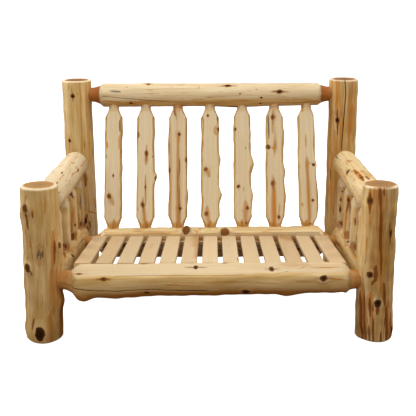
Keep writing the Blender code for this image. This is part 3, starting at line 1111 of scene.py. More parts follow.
def grain_effect() -> bpy.types.NodeTree:
    """Cedar's figure: fine fibres, slow bands along the log, and growth rings about the pith.

    Returns:
        The node group.
    """
    effect = Effect("cedar_grain", {"Place": "Vector"}, ("Fibre", "Band", "Ring"))
    g = effect.graph
    place = effect.given["Place"]
    fibre = g.noise(g.scaled(place, FIBRE_SCALE), 4.0, 0.62)
    band = g.noise(g.scaled(place, BAND_SCALE), 2.0)
    across = g.across(place)
    wobble = g.times(g.minus(g.noise(g.scaled(place, RING_SCALE), 1.0), 0.5), 0.018)
    depth = g.times(g.plus(across, wobble), RINGS_IN_METRE)
    ring = g.node("TexNoise", {"W": depth, "Scale": 1.0, "Detail": 2.0}, noise_dimensions="1D").outputs[0]
    return effect.give(Fibre=fibre, Band=band, Ring=ring)


def fleck_effect() -> bpy.types.NodeTree:
    """Orange-brown flecks of inner bark that the peeling left.

    Returns:
        The node group.
    """
    effect = Effect("bark_fleck", {"Place": "Vector", "Amount": "Float"}, ("Mask",))
    g = effect.graph
    place = effect.given["Place"]
    small = g.noise(g.scaled(place, FLECK_SCALE), 1.0)
    cluster = g.noise(g.scaled(place, CLUSTER_SCALE), 1.0)
    level = g.plus(g.times(small, 0.72), g.times(cluster, 0.28))
    level = g.plus(level, g.times(effect.given["Amount"], 0.085))
    return effect.give(Mask=g.step(level, 0.655, 0.68))


def streak_effect() -> bpy.types.NodeTree:
    """Streaks along the grain, wide and thin, that colour the skin and break the edges of stains.

    Returns:
        The node group.
    """
    effect = Effect("grain_streak", {"Place": "Vector"}, ("Wide", "Thin"))
    g = effect.graph
    place = effect.given["Place"]
    wide = g.noise(g.scaled(place, WIDE_SCALE), 3.0, 0.6, 0.3)
    thin = g.noise(g.scaled(place, THIN_SCALE), 3.0, 0.6)
    return effect.give(Wide=wide, Thin=thin)


def knot_effect() -> bpy.types.NodeTree:
    """A knot about its own place: core, dark eye, rim, pale collar, warm glow and tails along the grain.

    Returns:
        The node group.
    """
    outputs = ("Core", "Eye", "Rim", "Collar", "Glow", "Tail")
    effect = Effect("knot_mark", {"Place": "Vector", "Look": "Vector"}, outputs)
    g = effect.graph
    u, v, shown = g.parts(effect.given["Place"])
    tone, tail, rank = g.parts(effect.given["Look"])
    spot = g.node("CombineXYZ", {0: u, 1: v, 2: g.times(rank, 7.3)}).outputs[0]
    wobble = g.minus(g.noise(g.scaled(spot, (0.8, 0.8, 1.0)), 2.0), 0.5)
    ring = g.plus(g.across(effect.given["Place"]), wobble)
    core = g.times(g.step(ring, 1.07, 0.93), shown)
    rings = g.times(g.math("SINE", g.times(ring, 17.0)), 0.5)
    eye = g.times(g.step(ring, 1.0, 0.35), g.plus(0.9, g.times(rings, 0.25)))
    rim = g.times(g.step(ring, 0.66, 0.95), g.step(ring, 1.18, 1.0))
    collar = g.times(g.step(ring, 1.05, 1.35), g.step(ring, 2.4, 1.6))
    glow = g.times(g.step(ring, 2.0, 0.95), g.plus(0.9, wobble))
    thin = g.step(g.plus(g.math("ABSOLUTE", u), wobble), 0.95, 0.15)
    length = g.plus(g.math("ABSOLUTE", v), g.times(wobble, 2.4))
    run = g.times(g.step(length, 0.6, 1.1), g.step(length, 4.2, 1.4))
    trail = g.times(g.times(thin, run), g.times(tail, shown))
    darkened = g.times(g.step(rings, -0.2, 0.4), g.step(tone, 0.9, 0.0))
    eye = g.plus(g.times(eye, tone), g.times(darkened, 0.4))
    return effect.give(Core=core, Eye=eye, Rim=g.times(rim, shown),
                       Collar=g.times(collar, shown), Glow=g.times(glow, shown), Tail=trail)


@dataclass(frozen=True)
class CedarFinish:
    """Lacquered cedar: pale sapwood, orange heartwood where a tool cut deeper, the tree's own marks and some
    painted shade and light.
    """

    slot: str
    pale: Colour
    straw: Colour
    planed_pale: Colour
    planed_straw: Colour
    turned: Colour = (0.64, 0.37, 0.09)
    turned_deep: Colour = (0.41, 0.130, 0.022)
    rim: Colour = (0.78, 0.64, 0.42)
    tan: Colour = (0.44, 0.19, 0.033)
    bleached_and_painted_light: Colour = (0.69, 0.61, 0.46)
    heart_light: Colour = (0.52, 0.28, 0.075)
    heart_deep: Colour = (0.375, 0.130, 0.026)
    heart_line: Colour = (0.26, 0.10, 0.028)
    sawn_end: Colour = (0.20, 0.11, 0.05)
    bark: Colour = (0.44, 0.165, 0.030)
    brown: Colour = (0.23, 0.066, 0.010)
    orange: Colour = (0.52, 0.20, 0.034)
    grey: Colour = (0.115, 0.088, 0.058)
    collar: Colour = (0.80, 0.64, 0.38)
    knot_brown: Colour = (0.29, 0.108, 0.026)
    knot_black: Colour = (0.026, 0.010, 0.003)
    knot_rim: Colour = (0.060, 0.022, 0.006)
    streak: Colour = (0.35, 0.125, 0.014)
    crack: Colour = (0.030, 0.018, 0.010)
    roughness: float = 0.46
    specular: float = 0.12
    coat: float = 0.11
    coat_roughness: float = 0.24
    bump: float = 0.0007

    def material(self) -> bpy.types.Material:
        """The finish's material, built the first time that it is asked for."""
        known = bpy.data.materials.get("finish_" + self.slot)
        return known or self.build()

    def build(self) -> bpy.types.Material:
        """Wires the colour, roughness and relief.

        Returns:
            The material.
        """
        material = bpy.data.materials.new("finish_" + self.slot)
        material.use_nodes = True
        g = Graph(material.node_tree)
        aside, running, sawn = g.parts(g.stored("crack"))
        place = g.stored("grain")
        figure = g.placed(shared("cedar_grain"), Place=place)
        streaks = g.placed(shared("grain_streak"), Place=place)
        fibre, ring = figure["Fibre"], figure["Ring"]
        colour = self.sapwood(g, figure, streaks)
        colour = self.heartwood(g, colour, place, ring)
        colour = self.stained(g, colour, place, streaks)
        marks = g.placed(shared("knot_mark"), Place=g.stored("knot"), Look=g.stored("look"))
        colour = self.knotted(g, colour, marks, fibre)
        line = g.times(g.step(g.math("ABSOLUTE", aside), 1.05, 0.45), running)
        colour = g.mix(line, colour, self.crack)
        rough = g.plus(self.roughness - 0.06, g.times(fibre, 0.12))
        rough = g.plus(rough, g.times(sawn, 0.35))
        bare = g.math("MAXIMUM", sawn, g.times(marks["Core"], 0.8))
        coat = g.times(g.minus(1.0, bare), self.coat)
        relief = g.plus(g.times(fibre, 0.5), g.times(ring, 0.25))
        relief = g.minus(relief, g.times(line, 2.0))
        relief = g.minus(relief, g.times(marks["Rim"], 0.6))
        normal = g.node("Bump", {"Strength": 0.4, "Distance": self.bump, "Height": relief}).outputs[0]
        shader = g.node("BsdfPrincipled", {
            "Base Color": colour, "Roughness": rough, "Normal": normal, "Specular IOR Level": self.specular,
            "Coat Weight": coat, "Coat Roughness": self.coat_roughness})
        g.node("OutputMaterial", {"Surface": shader.outputs[0]})
        return material

    def sapwood(self, g: Graph, figure: Sockets,
                streaks: Sockets) -> Socket:
        """Sapwood's colour: golden on the peeled skin, paler where it is planed, deeper where it is turned.

        Args:
            g: The material's graph.
            figure: Outputs of the grain effect.
            streaks: Outputs of the streak effect.

        Returns:
            The colour.
        """
        fibre, band, ring = figure["Fibre"], figure["Band"], figure["Ring"]
        cut, _, turned = g.parts(g.stored("tint"))
        tan, _, deep = g.parts(g.stored("hue"))
        share = g.plus(g.times(band, 0.75), g.times(fibre, 0.5))
        peeled = g.mix(g.step(share, 0.44, 0.80), self.pale, self.straw)
        rings = g.plus(g.times(ring, 0.8), g.times(fibre, 0.35))
        planed = g.mix(g.step(rings, 0.42, 0.85), self.planed_pale, self.planed_straw)
        colour = g.mix(cut, peeled, planed)
        cone = g.mix(deep, self.turned, self.turned_deep)
        cone = g.mix(g.step(deep, -0.2, -0.8), cone, self.rim)
        colour = g.mix(g.times(turned, g.plus(0.45, g.times(fibre, 0.7))), colour, cone)
        # Below zero the tan level paints the wood paler and above zero deeper tan: the wood's own tones, and
        # on some logs painted light and painted shade.
        colour = g.mix(g.times(tan, -1.0), colour, self.bleached_and_painted_light)
        colour = g.mix(g.times(tan, g.plus(0.6, g.times(band, 0.8))), colour, self.tan)
        _, _, amount = g.parts(g.stored("habit"))
        mixed = g.plus(g.times(streaks["Wide"], 0.7), g.times(streaks["Thin"], 0.35))
        mixed = g.plus(mixed, g.times(amount, 0.10))
        streak = g.times(g.step(mixed, 0.585, 0.70), amount)
        streak = g.times(streak, g.minus(1.0, g.times(cut, 0.8)))
        return g.mix(g.times(streak, 0.75), colour, self.streak)

    def heartwood(self, g: Graph, colour: Socket, place: Socket, ring: Socket) -> Socket:
        """Lays the heartwood's colour over what lies nearer the pith than its radius.

        Args:
            g: The material's graph.
            colour: The colour so far.
            place: Places in the grain.
            ring: Growth rings.

        Returns:
            The colour.
        """
        heart, tone, _ = g.parts(g.stored("habit"))
        across = g.across(place)
        wander = g.minus(g.noise(g.scaled(place, HEART_SCALE), 2.0), 0.5)
        depth = g.minus(heart, g.plus(across, g.times(wander, 0.012)))
        inside = g.step(depth, -0.0015, 0.0035)
        wood = g.mix(tone, self.heart_light, self.heart_deep)
        wood = g.mix(g.times(g.step(ring, 0.46, 0.72), 0.45), wood, self.heart_line)
        _, _, sawn = g.parts(g.stored("crack"))
        pith = g.step(g.math("DIVIDE", across, g.math("MAXIMUM", heart, 0.001)), 0.80, 0.05)
        dark = g.plus(g.times(pith, 0.28), g.times(tone, 0.15))
        wood = g.mix(g.times(sawn, g.plus(dark, 0.42)), wood, self.sawn_end)
        soft = g.times(sawn, g.minus(g.step(depth, -0.004, 0.010), inside))
        return g.mix(g.plus(inside, soft), colour, wood)

    def stained(self, g: Graph, colour: Socket, place: Socket, streaks: Sockets) -> Socket:
        """Adds the flecks of inner bark and the stains, their edges broken along the grain.

        Args:
            g: The material's graph.
            colour: The colour so far.
            place: Places in the grain.
            streaks: Outputs of the streak effect.

        Returns:
            The colour.
        """
        cut, fleck, _ = g.parts(g.stored("tint"))
        amount = g.times(fleck, g.minus(1.0, cut))
        flecks = g.placed(shared("bark_fleck"), Place=place, Amount=amount)["Mask"]
        flecks = g.times(flecks, g.step(amount, 0.02, 0.25))
        colour = g.mix(g.times(flecks, 0.8), colour, self.bark)
        ragged = g.plus(g.times(streaks["Wide"], 1.1), g.times(streaks["Thin"], 1.5))
        ragged = g.minus(ragged, 1.3)
        levels = g.parts(g.stored("stain"))
        for kind, tone in ((MarkColour.ORANGE, self.orange), (MarkColour.GREY, self.grey),
                           (MarkColour.BROWN, self.brown)):
            level = levels[kind.value]
            edge = g.times(g.step(level, 0.0, 0.3), g.minus(1.15, level))
            broken = g.plus(g.times(level, 0.75), g.times(ragged, edge))
            colour = g.mix(g.times(g.step(broken, 0.22, 0.58), 0.9), colour, tone)
        return colour

    def knotted(self, g: Graph, colour: Socket, marks: Sockets, fibre: Socket) -> Socket:
        """Adds the knots: glow and collar first, then tails, core, eye and rim.

        Args:
            g: The material's graph.
            colour: The colour so far.
            marks: Outputs of the knot effect.
            fibre: The grain's fine fibres.

        Returns:
            The colour.
        """
        _, collar, _ = g.parts(g.stored("hue"))
        tone, _, _ = g.parts(g.stored("look"))
        bare = g.step(g.parts(g.stored("stain"))[MarkColour.BROWN.value], 0.8, 0.3)
        warm = g.times(marks["Glow"], g.plus(0.5, g.times(fibre, 0.5)))
        warm = g.times(warm, bare)
        colour = g.mix(g.times(warm, g.minus(1.0, collar)), colour, self.orange)
        raised = g.times(g.times(marks["Collar"], collar), bare)
        colour = g.mix(g.times(raised, 0.22), colour, self.collar)
        colour = g.mix(g.times(marks["Tail"], 0.85), colour, self.brown)
        inner = g.mix(marks["Eye"], self.knot_brown, self.knot_black)
        colour = g.mix(marks["Core"], colour, inner)
        return g.mix(g.times(marks["Rim"], g.plus(0.2, g.times(tone, 0.65))), colour,
                     self.knot_rim)


PEELED = CedarFinish("peeled_log", pale=(0.75, 0.56, 0.275), straw=(0.56, 0.345, 0.10),
                     planed_pale=(0.69, 0.565, 0.36), planed_straw=(0.64, 0.485, 0.275))
PLANED = CedarFinish("planed_slat", pale=(0.76, 0.56, 0.35), straw=(0.68, 0.46, 0.26),
                     planed_pale=(0.67, 0.51, 0.305), planed_straw=(0.635, 0.465, 0.26),
                     tan=(0.46, 0.25, 0.09))


def shared(name: str) -> bpy.types.NodeTree:
    """A shared effect by name, built the first time."""
    makers = {"cedar_grain": grain_effect, "bark_fleck": fleck_effect, "knot_mark": knot_effect,
              "grain_streak": streak_effect}
    return bpy.data.node_groups.get(name) or makers[name]()


@dataclass(frozen=True)
class ZincFinish:
    """Yellowed zinc plate on the ledgers' screws."""

    slot: str = "zinc_screw"
    bright: Colour = (0.62, 0.58, 0.46)
    dull: Colour = (0.42, 0.38, 0.28)

    def material(self) -> bpy.types.Material:
        """The plate's material, built the first time that it is asked for.

        Returns:
            The material.
        """
        known = bpy.data.materials.get("finish_" + self.slot)
        if known:
            return known
        material = bpy.data.materials.new("finish_" + self.slot)
        material.use_nodes = True
        g = Graph(material.node_tree)
        place = g.node("TexCoord").outputs["Object"]
        cloud = g.noise(g.scaled(place, ZINC_SCALE), 3.0)
        colour = g.mix(g.step(cloud, 0.35, 0.65), self.bright, self.dull)
        rough = g.plus(0.28, g.times(cloud, 0.2))
        shader = g.node("BsdfPrincipled", {"Base Color": colour, "Roughness": rough, "Metallic": 1.0})
        g.node("OutputMaterial", {"Surface": shader.outputs[0]})
        return material


ZINC = ZincFinish()


POST_MARKS: dict[str, Marks] = {
    "front_left": Marks(
        knots=(Knot(26.2, 208.3, 0.0118, 0.45, 0.4, 1.6, 0.009, 0.042),
               Knot(26.4, 215.4, 0.0045, 1.0, 0.5, 1.4),
               Knot(28.2, 267.4, 0.0145, 0.90, 0.3, 1.2, 0.009, 0.036),
               Knot(57.6, 245.0, 0.010, 0.55, 0.2, 1.3, 0.005, 0.035),
               Knot(40.6, 333.0, 0.0185, 2.6, 0.2, 1.65, 0.009, 0.050),
               Knot(61.4, 301, 0.005, 0.4, 0.2, 1.5, 0.006, 0.04)),
        brown=(ColourMark(54, 240, 53.4, 268, 0.012, 0.8), ColourMark(60, 300, 60.6, 338, 0.012, 0.6),
               ColourMark(34.3, 318, 32.8, 330, 0.011, 1.0), ColourMark(26, 212, 28.6, 231, 0.013, 0.85),
               ColourMark(32.4, 212, 33, 219, 0.010, 0.8), ColourMark(30, 268, 32.4, 276, 0.010, 0.8)),
        orange=(ColourMark(32.8, 209, 32.8, 219, 0.012, 0.9), ColourMark(52.5, 230, 52.0, 276, 0.024, 0.80),
                ColourMark(51, 262, 51.6, 304, 0.016, 0.66), ColourMark(49.4, 278, 49.6, 306, 0.010, 0.62),
                ColourMark(56.4, 268, 57.4, 306, 0.014, 0.7), ColourMark(45, 196, 45, 215, 0.008, 0.6),
                ColourMark(30, 225, 30, 245, 0.008, 0.5), ColourMark(54.2, 316, 54.2, 320, 0.005),
                ColourMark(26.4, 194, 25.4, 203, 0.008, 0.8), ColourMark(27, 262, 27.6, 256, 0.010, 0.8)),
        grey=(ColourMark(37.3, 252, 37.0, 260, 0.006, 1.0), ColourMark(39.0, 249, 39.4, 256, 0.006, 1.0),
              ColourMark(40.6, 252, 40.4, 261, 0.006, 1.0), ColourMark(42.3, 251, 42.4, 259, 0.006, 1.0),
              ColourMark(37, 255.4, 43, 254.6, 0.006, 0.9)),
        # The tan bands down the right side are partly the post's own orange-brown zone and partly painted
        # shade on its lower right.
        tan=(ColourMark(39.5, 244, 39.5, 266, 0.050, 0.6), ColourMark(52.6, 268, 53, 316, 0.040, 0.9),
             ColourMark(55, 228, 57, 345, 0.046, 0.5), ColourMark(50, 314, 51, 344, 0.044, 0.9),
             ColourMark(60, 276, 60.6, 348, 0.032, 0.9))),
    "front_right": Marks(
        knots=(Knot(370.2, 201.0, 0.0122, 0.9, 0.3, 1.2, 0.0, 0.035),
               Knot(370.3, 274.8, 0.0128, 1.1, 0.2, 1.0, 0.003, 0.035),
               Knot(377.7, 303.3, 0.0125, 1.6, 0.5, 1.2, 0.005, 0.045),
               Knot(391.1, 233.6, 0.006, 1.2, 0.4, 2.4),
               Knot(391.0, 329.5, 0.008, 1.2, 0.4, 1.9, 0.003, 0.04)),
        brown=(ColourMark(380.6, 188, 380.6, 212, 0.013, 1.0), ColourMark(381, 206, 380.6, 258, 0.015, 1.0),
               ColourMark(381.6, 246, 381, 276, 0.009, 1.0), ColourMark(383.4, 282, 384.4, 306, 0.013, 0.9),
               ColourMark(376.2, 265, 375.4, 282, 0.018, 1.0), ColourMark(375.4, 279, 371.6, 285, 0.011, 1.0),
               ColourMark(377.7, 303, 377.0, 315, 0.014, 1.0), ColourMark(369.8, 297, 370, 317, 0.013, 0.9),
               ColourMark(373.4, 300, 373.2, 312, 0.008, 0.8), ColourMark(379.4, 186, 379.2, 200, 0.010, 0.9),
               ColourMark(384.5, 187, 384.5, 197, 0.012, 0.9), ColourMark(370.1, 192, 370.2, 211, 0.017, 0.9),
               ColourMark(370.1, 206, 370.2, 215, 0.007, 0.9), ColourMark(389.5, 222, 390.5, 246, 0.010, 0.8),
               ColourMark(373, 318, 373.4, 350, 0.014, 0.75), ColourMark(360.6, 290, 360.8, 346, 0.018, 1.0),
               ColourMark(364.4, 290, 364.8, 348, 0.013, 1.0), ColourMark(368.4, 324, 368.6, 347, 0.014, 0.8),
               ColourMark(386.4, 306, 386.6, 350, 0.016, 1.0), ColourMark(380.6, 332, 381, 350, 0.012, 0.8),
               ColourMark(390.4, 312, 390.2, 348, 0.014, 0.9)),
        orange=(ColourMark(380.4, 184, 380.4, 292, 0.034, 0.72), ColourMark(377, 186, 377.4, 240, 0.012, 0.7),
                ColourMark(371, 292, 371, 318, 0.040, 0.75), ColourMark(374.2, 186, 374, 200, 0.014, 0.8),
                ColourMark(386.5, 188, 386.5, 210, 0.020, 0.7), ColourMark(366.6, 204, 366.2, 256, 0.010, 0.7),
                ColourMark(370.1, 189.6, 370.1, 212, 0.022, 1.0), ColourMark(370.2, 212, 370.2, 232, 0.008, 0.8),
                ColourMark(373, 208, 373.4, 250, 0.008, 0.6), ColourMark(363, 284, 363, 350, 0.050, 0.72),
                ColourMark(372, 304, 372, 352, 0.060, 0.60), ColourMark(388, 300, 388, 352, 0.050, 0.66)),
        tan=(ColourMark(381, 180, 381, 300, 0.10, 0.55),)),
    "back_left": Marks(
        knots=(Knot(72.7, 96.2, 0.0088, 1.5, 0.7), Knot(69.6, 140.6, 0.0080, 1.5, 0.5),
               Knot(77.9, 93.7, 0.0025, 0.7), Knot(85.5, 220.6, 0.0080, 1.4, 0.4, 1.9, 0.006, 0.045)),
        brown=(ColourMark(84.4, 139, 84.7, 151, 0.008), ColourMark(95.4, 204, 96, 208, 0.006, 1.0),
               ColourMark(84.4, 170, 85.6, 187, 0.014, 0.9), ColourMark(88.6, 220, 90.4, 228, 0.008, 0.9),
               ColourMark(84.2, 225, 87, 214, 0.018, 0.9), ColourMark(87, 226, 88.4, 230, 0.006, 0.8)),
        orange=(ColourMark(68.5, 84, 68.8, 92, 0.006), ColourMark(86, 84, 86, 118, 0.014, 0.6),
                ColourMark(89, 130, 90, 172, 0.014, 0.6), ColourMark(76.4, 104, 76.4, 140, 0.010, 0.5),
                ColourMark(71.9, 86, 71.4, 92, 0.006), ColourMark(89.2, 124, 89.2, 131, 0.005),
                ColourMark(88, 211, 95.5, 213.5, 0.009, 1.0), ColourMark(94, 198, 95.6, 206, 0.010, 1.0),
                ColourMark(69.8, 143, 70.3, 150, 0.006)),
        # The band below zero, down the lower right side, is painted light: it paints that side paler where
        # light falls on it.
        tan=(ColourMark(93.5, 70, 94.6, 160, 0.046, 0.6), ColourMark(92.6, 160, 94.4, 240, 0.070, -0.30),
             ColourMark(81, 180, 81, 200, 0.020, 0.8))),
    "back_right": Marks(
        knots=(Knot(337.3, 120.3, 0.0092, 1.5, 0.9, 1.4),),
        brown=(ColourMark(337.2, 108, 337.6, 136, 0.010, 0.9),),
        orange=(ColourMark(337, 80, 337, 112, 0.012, 0.8), ColourMark(340.5, 86, 340, 150, 0.012, 0.7),
                ColourMark(349.5, 84, 348.5, 150, 0.016, 0.7), ColourMark(352, 82, 351, 104, 0.008, 0.7),
                ColourMark(331.6, 150, 331, 210, 0.016, 0.7), ColourMark(333.5, 82, 333.2, 90, 0.005),
                ColourMark(352.6, 104, 350.5, 134, 0.044, 0.66)),
        grey=(ColourMark(330.2, 168, 330.2, 181, 0.007),),
        tan=(ColourMark(335, 130, 333, 215, 0.040, 0.8),),
        checks=(Check(((345, 77), (345, 80.2), (346, 93.6), (344.3, 113.8), (343.4, 127.3), (342, 140.8),
                       (341.6, 153)), 0.0026, 0.005),)),
}


@dataclass
class Posts:
    """The four standing logs."""

    front_radius: float = 0.0745
    back_radius: float = 0.0710
    front_rim: float = 0.011
    rim_tone: float = -1.0

    def post(self, place: str, **own: object) -> DressedLog:
        """One post, from what it shares with its pair and what is its own.

        Args:
            place: Front or back, left or right.
            own: Fields that are the post's own.

        Returns:
            The post.
        """
        pair = {"radius": self.back_radius, "heart": 0.84, "heart_tone": 1.0, "sway": 0.0004}
        if place.startswith("front"):
            pair = {"radius": self.front_radius, "heart": 0.86, "sway": 0.0005, "rim": self.front_rim}
        return DressedLog("post_" + place, turned_tone=self.rim_tone, marks=POST_MARKS[place], **pair, **own)

    def logs(self) -> dict[str, DressedLog]:
        """The posts by place.

        Returns:
            Logs by place.
        """
        return {
            "front_left": self.post(
                "front_left", girth=(1.036, 1.011), heart_tone=0.15, tan=0.10, streak=0.5, seed=11,
                swells=(Swell(0.60, 5, 0.075, 0.010), Swell(0.25, 350, 0.070, 0.007),
                        Swell(0.09, 268, 0.060, 0.004), Swell(0.01, 285, 0.070, 0.008),
                        Swell(0.84, 197, 0.040, 0.006), Swell(0.06, 195, 0.045, 0.006))),
            "front_right": self.post(
                "front_right", girth=(1.058, 0.964), heart_tone=0.40, tan=-0.05, streak=0.55, seed=12,
                swells=(Swell(0.55, 185, 0.080, 0.004), Swell(0.16, 262, 0.050, 0.003),
                        Swell(0.76, 5, 0.090, -0.007), Swell(0.48, 5, 0.080, -0.004),
                        Swell(0.27, 5, 0.090, -0.005), Swell(0.005, 225, 0.075, -0.011),
                        Swell(0.28, 190, 0.055, 0.005))),
            "back_left": self.post("back_left", girth=(1.09, 0.996), tan=0.0, streak=0.6, seed=13,
                                   swells=(Swell(0.42, 285, 0.080, 0.004),)),
            "back_right": self.post("back_right", girth=(1.02, 1.005), tan=0.22, streak=0.8, seed=14,
                                    swells=(Swell(0.86, 265, 0.050, 0.003),)),
        }


RAIL_MARKS: dict[str, Marks] = {
    "top": Marks(
        knots=(Knot(148.4, 83.8, 0.008, 0.6, 0.5), Knot(227.5, 85.8, 0.0076, 1.5, 1.0, 1.9),
               Knot(279.4, 91.2, 0.0088, 1.4, 0.9, 1.6), Knot(131, 102.6, 0.006, 1.5, 0.8),
               Knot(240, 93.4, 0.0032, 1.5), Knot(261.3, 97, 0.0044, 1.5),
               Knot(260.3, 102.5, 0.0038, 1.4), Knot(256.4, 89, 0.002), Knot(126.6, 86.5, 0.0022),
               Knot(236.2, 104.8, 0.006, 0.9, 0.9, 2.2)),
        brown=(ColourMark(228, 104.2, 250, 104.6, 0.006),),
        orange=(ColourMark(198.5, 84.5, 199.3, 88.8, 0.006), ColourMark(103, 100, 121, 101.6, 0.007),
                ColourMark(230, 99, 250, 99.6, 0.006)),
        grey=(ColourMark(109, 90, 121, 91, 0.014, 0.75), ColourMark(112, 86.6, 117, 87.2, 0.007, 0.6),
              ColourMark(181, 97.8, 184, 98, 0.005, 0.5), ColourMark(104, 95.8, 190, 102.8, 0.007, 0.45)),
        # The long tan band along the lower front is partly the rail's own orange streak and partly painted
        # warm light bounced up from below.
        tan=(ColourMark(90, 103, 345, 100.5, 0.026, 0.12),),
        checks=(Check(((101.8, 95.5), (130, 98.3), (158, 100.2), (190, 103)), 0.0012, 0.001),)),
    "front": Marks(
        knots=(Knot(103.4, 278.8, 0.0075, 0.95, 0.9, 1.4), Knot(146.9, 292.7, 0.006, 1.0, 0.5, 1.8),
               Knot(195.8, 267.6, 0.0150, 1.2, 0.2, 0.62, 0.003, 0.02),
               Knot(271.4, 270, 0.0175, 1.1, 0.4, 0.60, 0.003, 0.02),
               Knot(323.2, 279.4, 0.0120, 1.25, 0.6, 1.15, 0.007, 0.032),
               Knot(245.8, 292.4, 0.013, 1.2, 0.4, 1.2, 0.003, 0.03),
               Knot(224.5, 262.4, 0.006, 0.6, 0.4, 2.0), Knot(144, 262.6, 0.006, 0.6, 0.4, 2.0),
               Knot(79, 273.4, 0.006, 0.35, 0.6, 1.8)),
        brown=(ColourMark(274, 270.2, 278.4, 269.2, 0.008, 0.9),),
        orange=(ColourMark(326, 279.8, 344, 280.6, 0.007, 1.0), ColourMark(164, 285, 206, 286.4, 0.018, 0.62),
                ColourMark(172, 283, 196, 283.6, 0.008, 0.6)),
        grey=(ColourMark(183.6, 267.6, 208, 267.8, 0.015, 0.72), ColourMark(284, 273, 296, 270, 0.006, 0.7),
              ColourMark(296, 272, 306, 267, 0.006, 0.7), ColourMark(285, 268, 300, 266, 0.010, 0.5)),
        # The first tan band is painted shade: it darkens the rail along its underside.
        tan=(ColourMark(56, 296, 349, 293, 0.078, 0.85), ColourMark(236, 268, 346, 268, 0.080, 0.30),
             ColourMark(280, 265, 312, 267, 0.060, 0.45)),
        checks=(Check(((59, 286.4), (75, 288.7), (91, 290.4), (112.5, 290.8), (143.3, 290), (151.3, 289.5),
                       (167.4, 291), (188, 290.8), (210, 290.6)), 0.0019, 0.003),
                Check(((112, 276), (140, 275.4), (175, 275.2), (205, 276), (228, 276.2), (246, 275)), 0.0012,
                      0.0007))),
    "back": Marks(
        knots=(Knot(186.2, 230.9, 0.0340, 0.0, 0.2, 0.62, 0.026, 0.030),
               Knot(224.6, 231.8, 0.0230, 0.0, 0.3, 0.92, 0.013, 0.032)),
        brown=(ColourMark(182, 229, 190.4, 231.6, 0.006, 0.9), ColourMark(184, 232.6, 191, 232.2, 0.008, 0.8),
               ColourMark(219.6, 233.6, 230, 233.8, 0.012, 0.8), ColourMark(224, 229, 225.4, 234, 0.005, 0.9)),
        tan=(ColourMark(95, 237.5, 320, 237.5, 0.022, 0.7),)),
    "arm_left": Marks(
        knots=(Knot(78.2, 170.2, 0.0066, 1.0, 0.9, 1.6), Knot(62, 172.8, 0.0042, 1.0, 0.9, 1.6),
               Knot(68.8, 156, 0.0045, 0.9, 0.3, 1.4, 0.003, 0.02),
               Knot(57.4, 167.2, 0.005, 0.9, 0.3, 1.4, 0.003, 0.02)),
        brown=(ColourMark(55.6, 184.6, 58.6, 181.2, 0.008, 0.9), ColourMark(57.5, 195.6, 61.2, 190.4, 0.004, 0.9)),
        orange=(ColourMark(79.6, 167.4, 86.6, 159.6, 0.006, 1.0), ColourMark(77, 171.4, 70.6, 175.6, 0.006, 1.0),
                ColourMark(82.4, 168.4, 86.8, 163, 0.004, 0.9), ColourMark(57.5, 168.4, 64.4, 163.8, 0.005, 1.0),
                ColourMark(59.4, 180.2, 61.2, 178, 0.005, 1.0), ColourMark(64.4, 182.6, 67.4, 179, 0.004, 0.9),
                ColourMark(71.4, 163.2, 73.4, 161, 0.006, 1.0), ColourMark(69, 165.8, 70.8, 164.2, 0.005, 0.9),
                ColourMark(74, 159.6, 78, 155.6, 0.004, 0.9), ColourMark(75.4, 168.6, 77.4, 166.6, 0.005, 0.9),
                ColourMark(63.4, 172, 66.4, 170.6, 0.004, 0.8)),
        grey=(ColourMark(62.6, 189, 70, 181.6, 0.003, 0.8),)),
    "arm_right": Marks(
        knots=(Knot(347.7, 171.9, 0.0125, 1.2, 0.3, 1.4, 0.002, 0.03),
               Knot(361.4, 177.4, 0.008, 0.9, 0.3, 1.4), Knot(357, 172.6, 0.0062, 0.5, 0.3, 1.3)),
        brown=(ColourMark(347.4, 161.6, 351.6, 162.2, 0.006, 1.0), ColourMark(347, 159.6, 350, 159.2, 0.004, 0.8),
               ColourMark(359, 174, 363.6, 180.6, 0.012, 1.0), ColourMark(354, 170.4, 358, 174, 0.010, 0.9),
               ColourMark(365.6, 175.8, 369.4, 179.6, 0.016, 1.0), ColourMark(334.4, 160, 336, 163, 0.006, 0.8),
               ColourMark(352, 197, 357.6, 203, 0.010, 1.0), ColourMark(341, 181, 344.4, 185.6, 0.010, 0.9)),
        orange=(ColourMark(346, 160.6, 353, 161.4, 0.018, 0.9), ColourMark(353.4, 169.6, 364, 181, 0.028, 0.95),
                ColourMark(337, 154, 338, 156, 0.008, 0.9), ColourMark(343.6, 175.6, 347, 180, 0.006, 0.9)),
        grey=(ColourMark(334.6, 155, 338.4, 158.8, 0.012, 0.9), ColourMark(346, 181, 349, 185, 0.004, 0.9),
              ColourMark(357.4, 192.6, 360.4, 189.4, 0.004, 1.0), ColourMark(355, 186, 359, 191, 0.003, 0.8),
              ColourMark(364, 166, 368.4, 171.6, 0.004, 0.7)),
        tan=(ColourMark(362, 170, 370, 178, 0.024, 0.7),)),
    "side_left": Marks(
        knots=(Knot(70.6, 257.4, 0.0105, 0.35, 0.1, 1.0, 0.016, 0.020),),
        brown=(ColourMark(63, 252, 66, 258, 0.014, 0.9),),
        orange=(ColourMark(80, 229.6, 86.6, 226.6, 0.006, 0.8),),
        grey=(ColourMark(76, 247, 86, 236.5, 0.006, 0.7), ColourMark(73.6, 250, 78, 245, 0.005, 0.7))),
    "side_right": Marks(
        knots=(Knot(348.7, 244, 0.009, 1.0, 0.2, 1.3, 0.014, 0.022), Knot(338.2, 224.6, 0.007, 0.8, 0.2)),
        brown=(ColourMark(335, 239, 340, 246, 0.008, 0.8), ColourMark(350, 247, 356, 257, 0.008, 0.6)),
        orange=(ColourMark(333, 237, 344, 252, 0.012, 0.8),)),
}


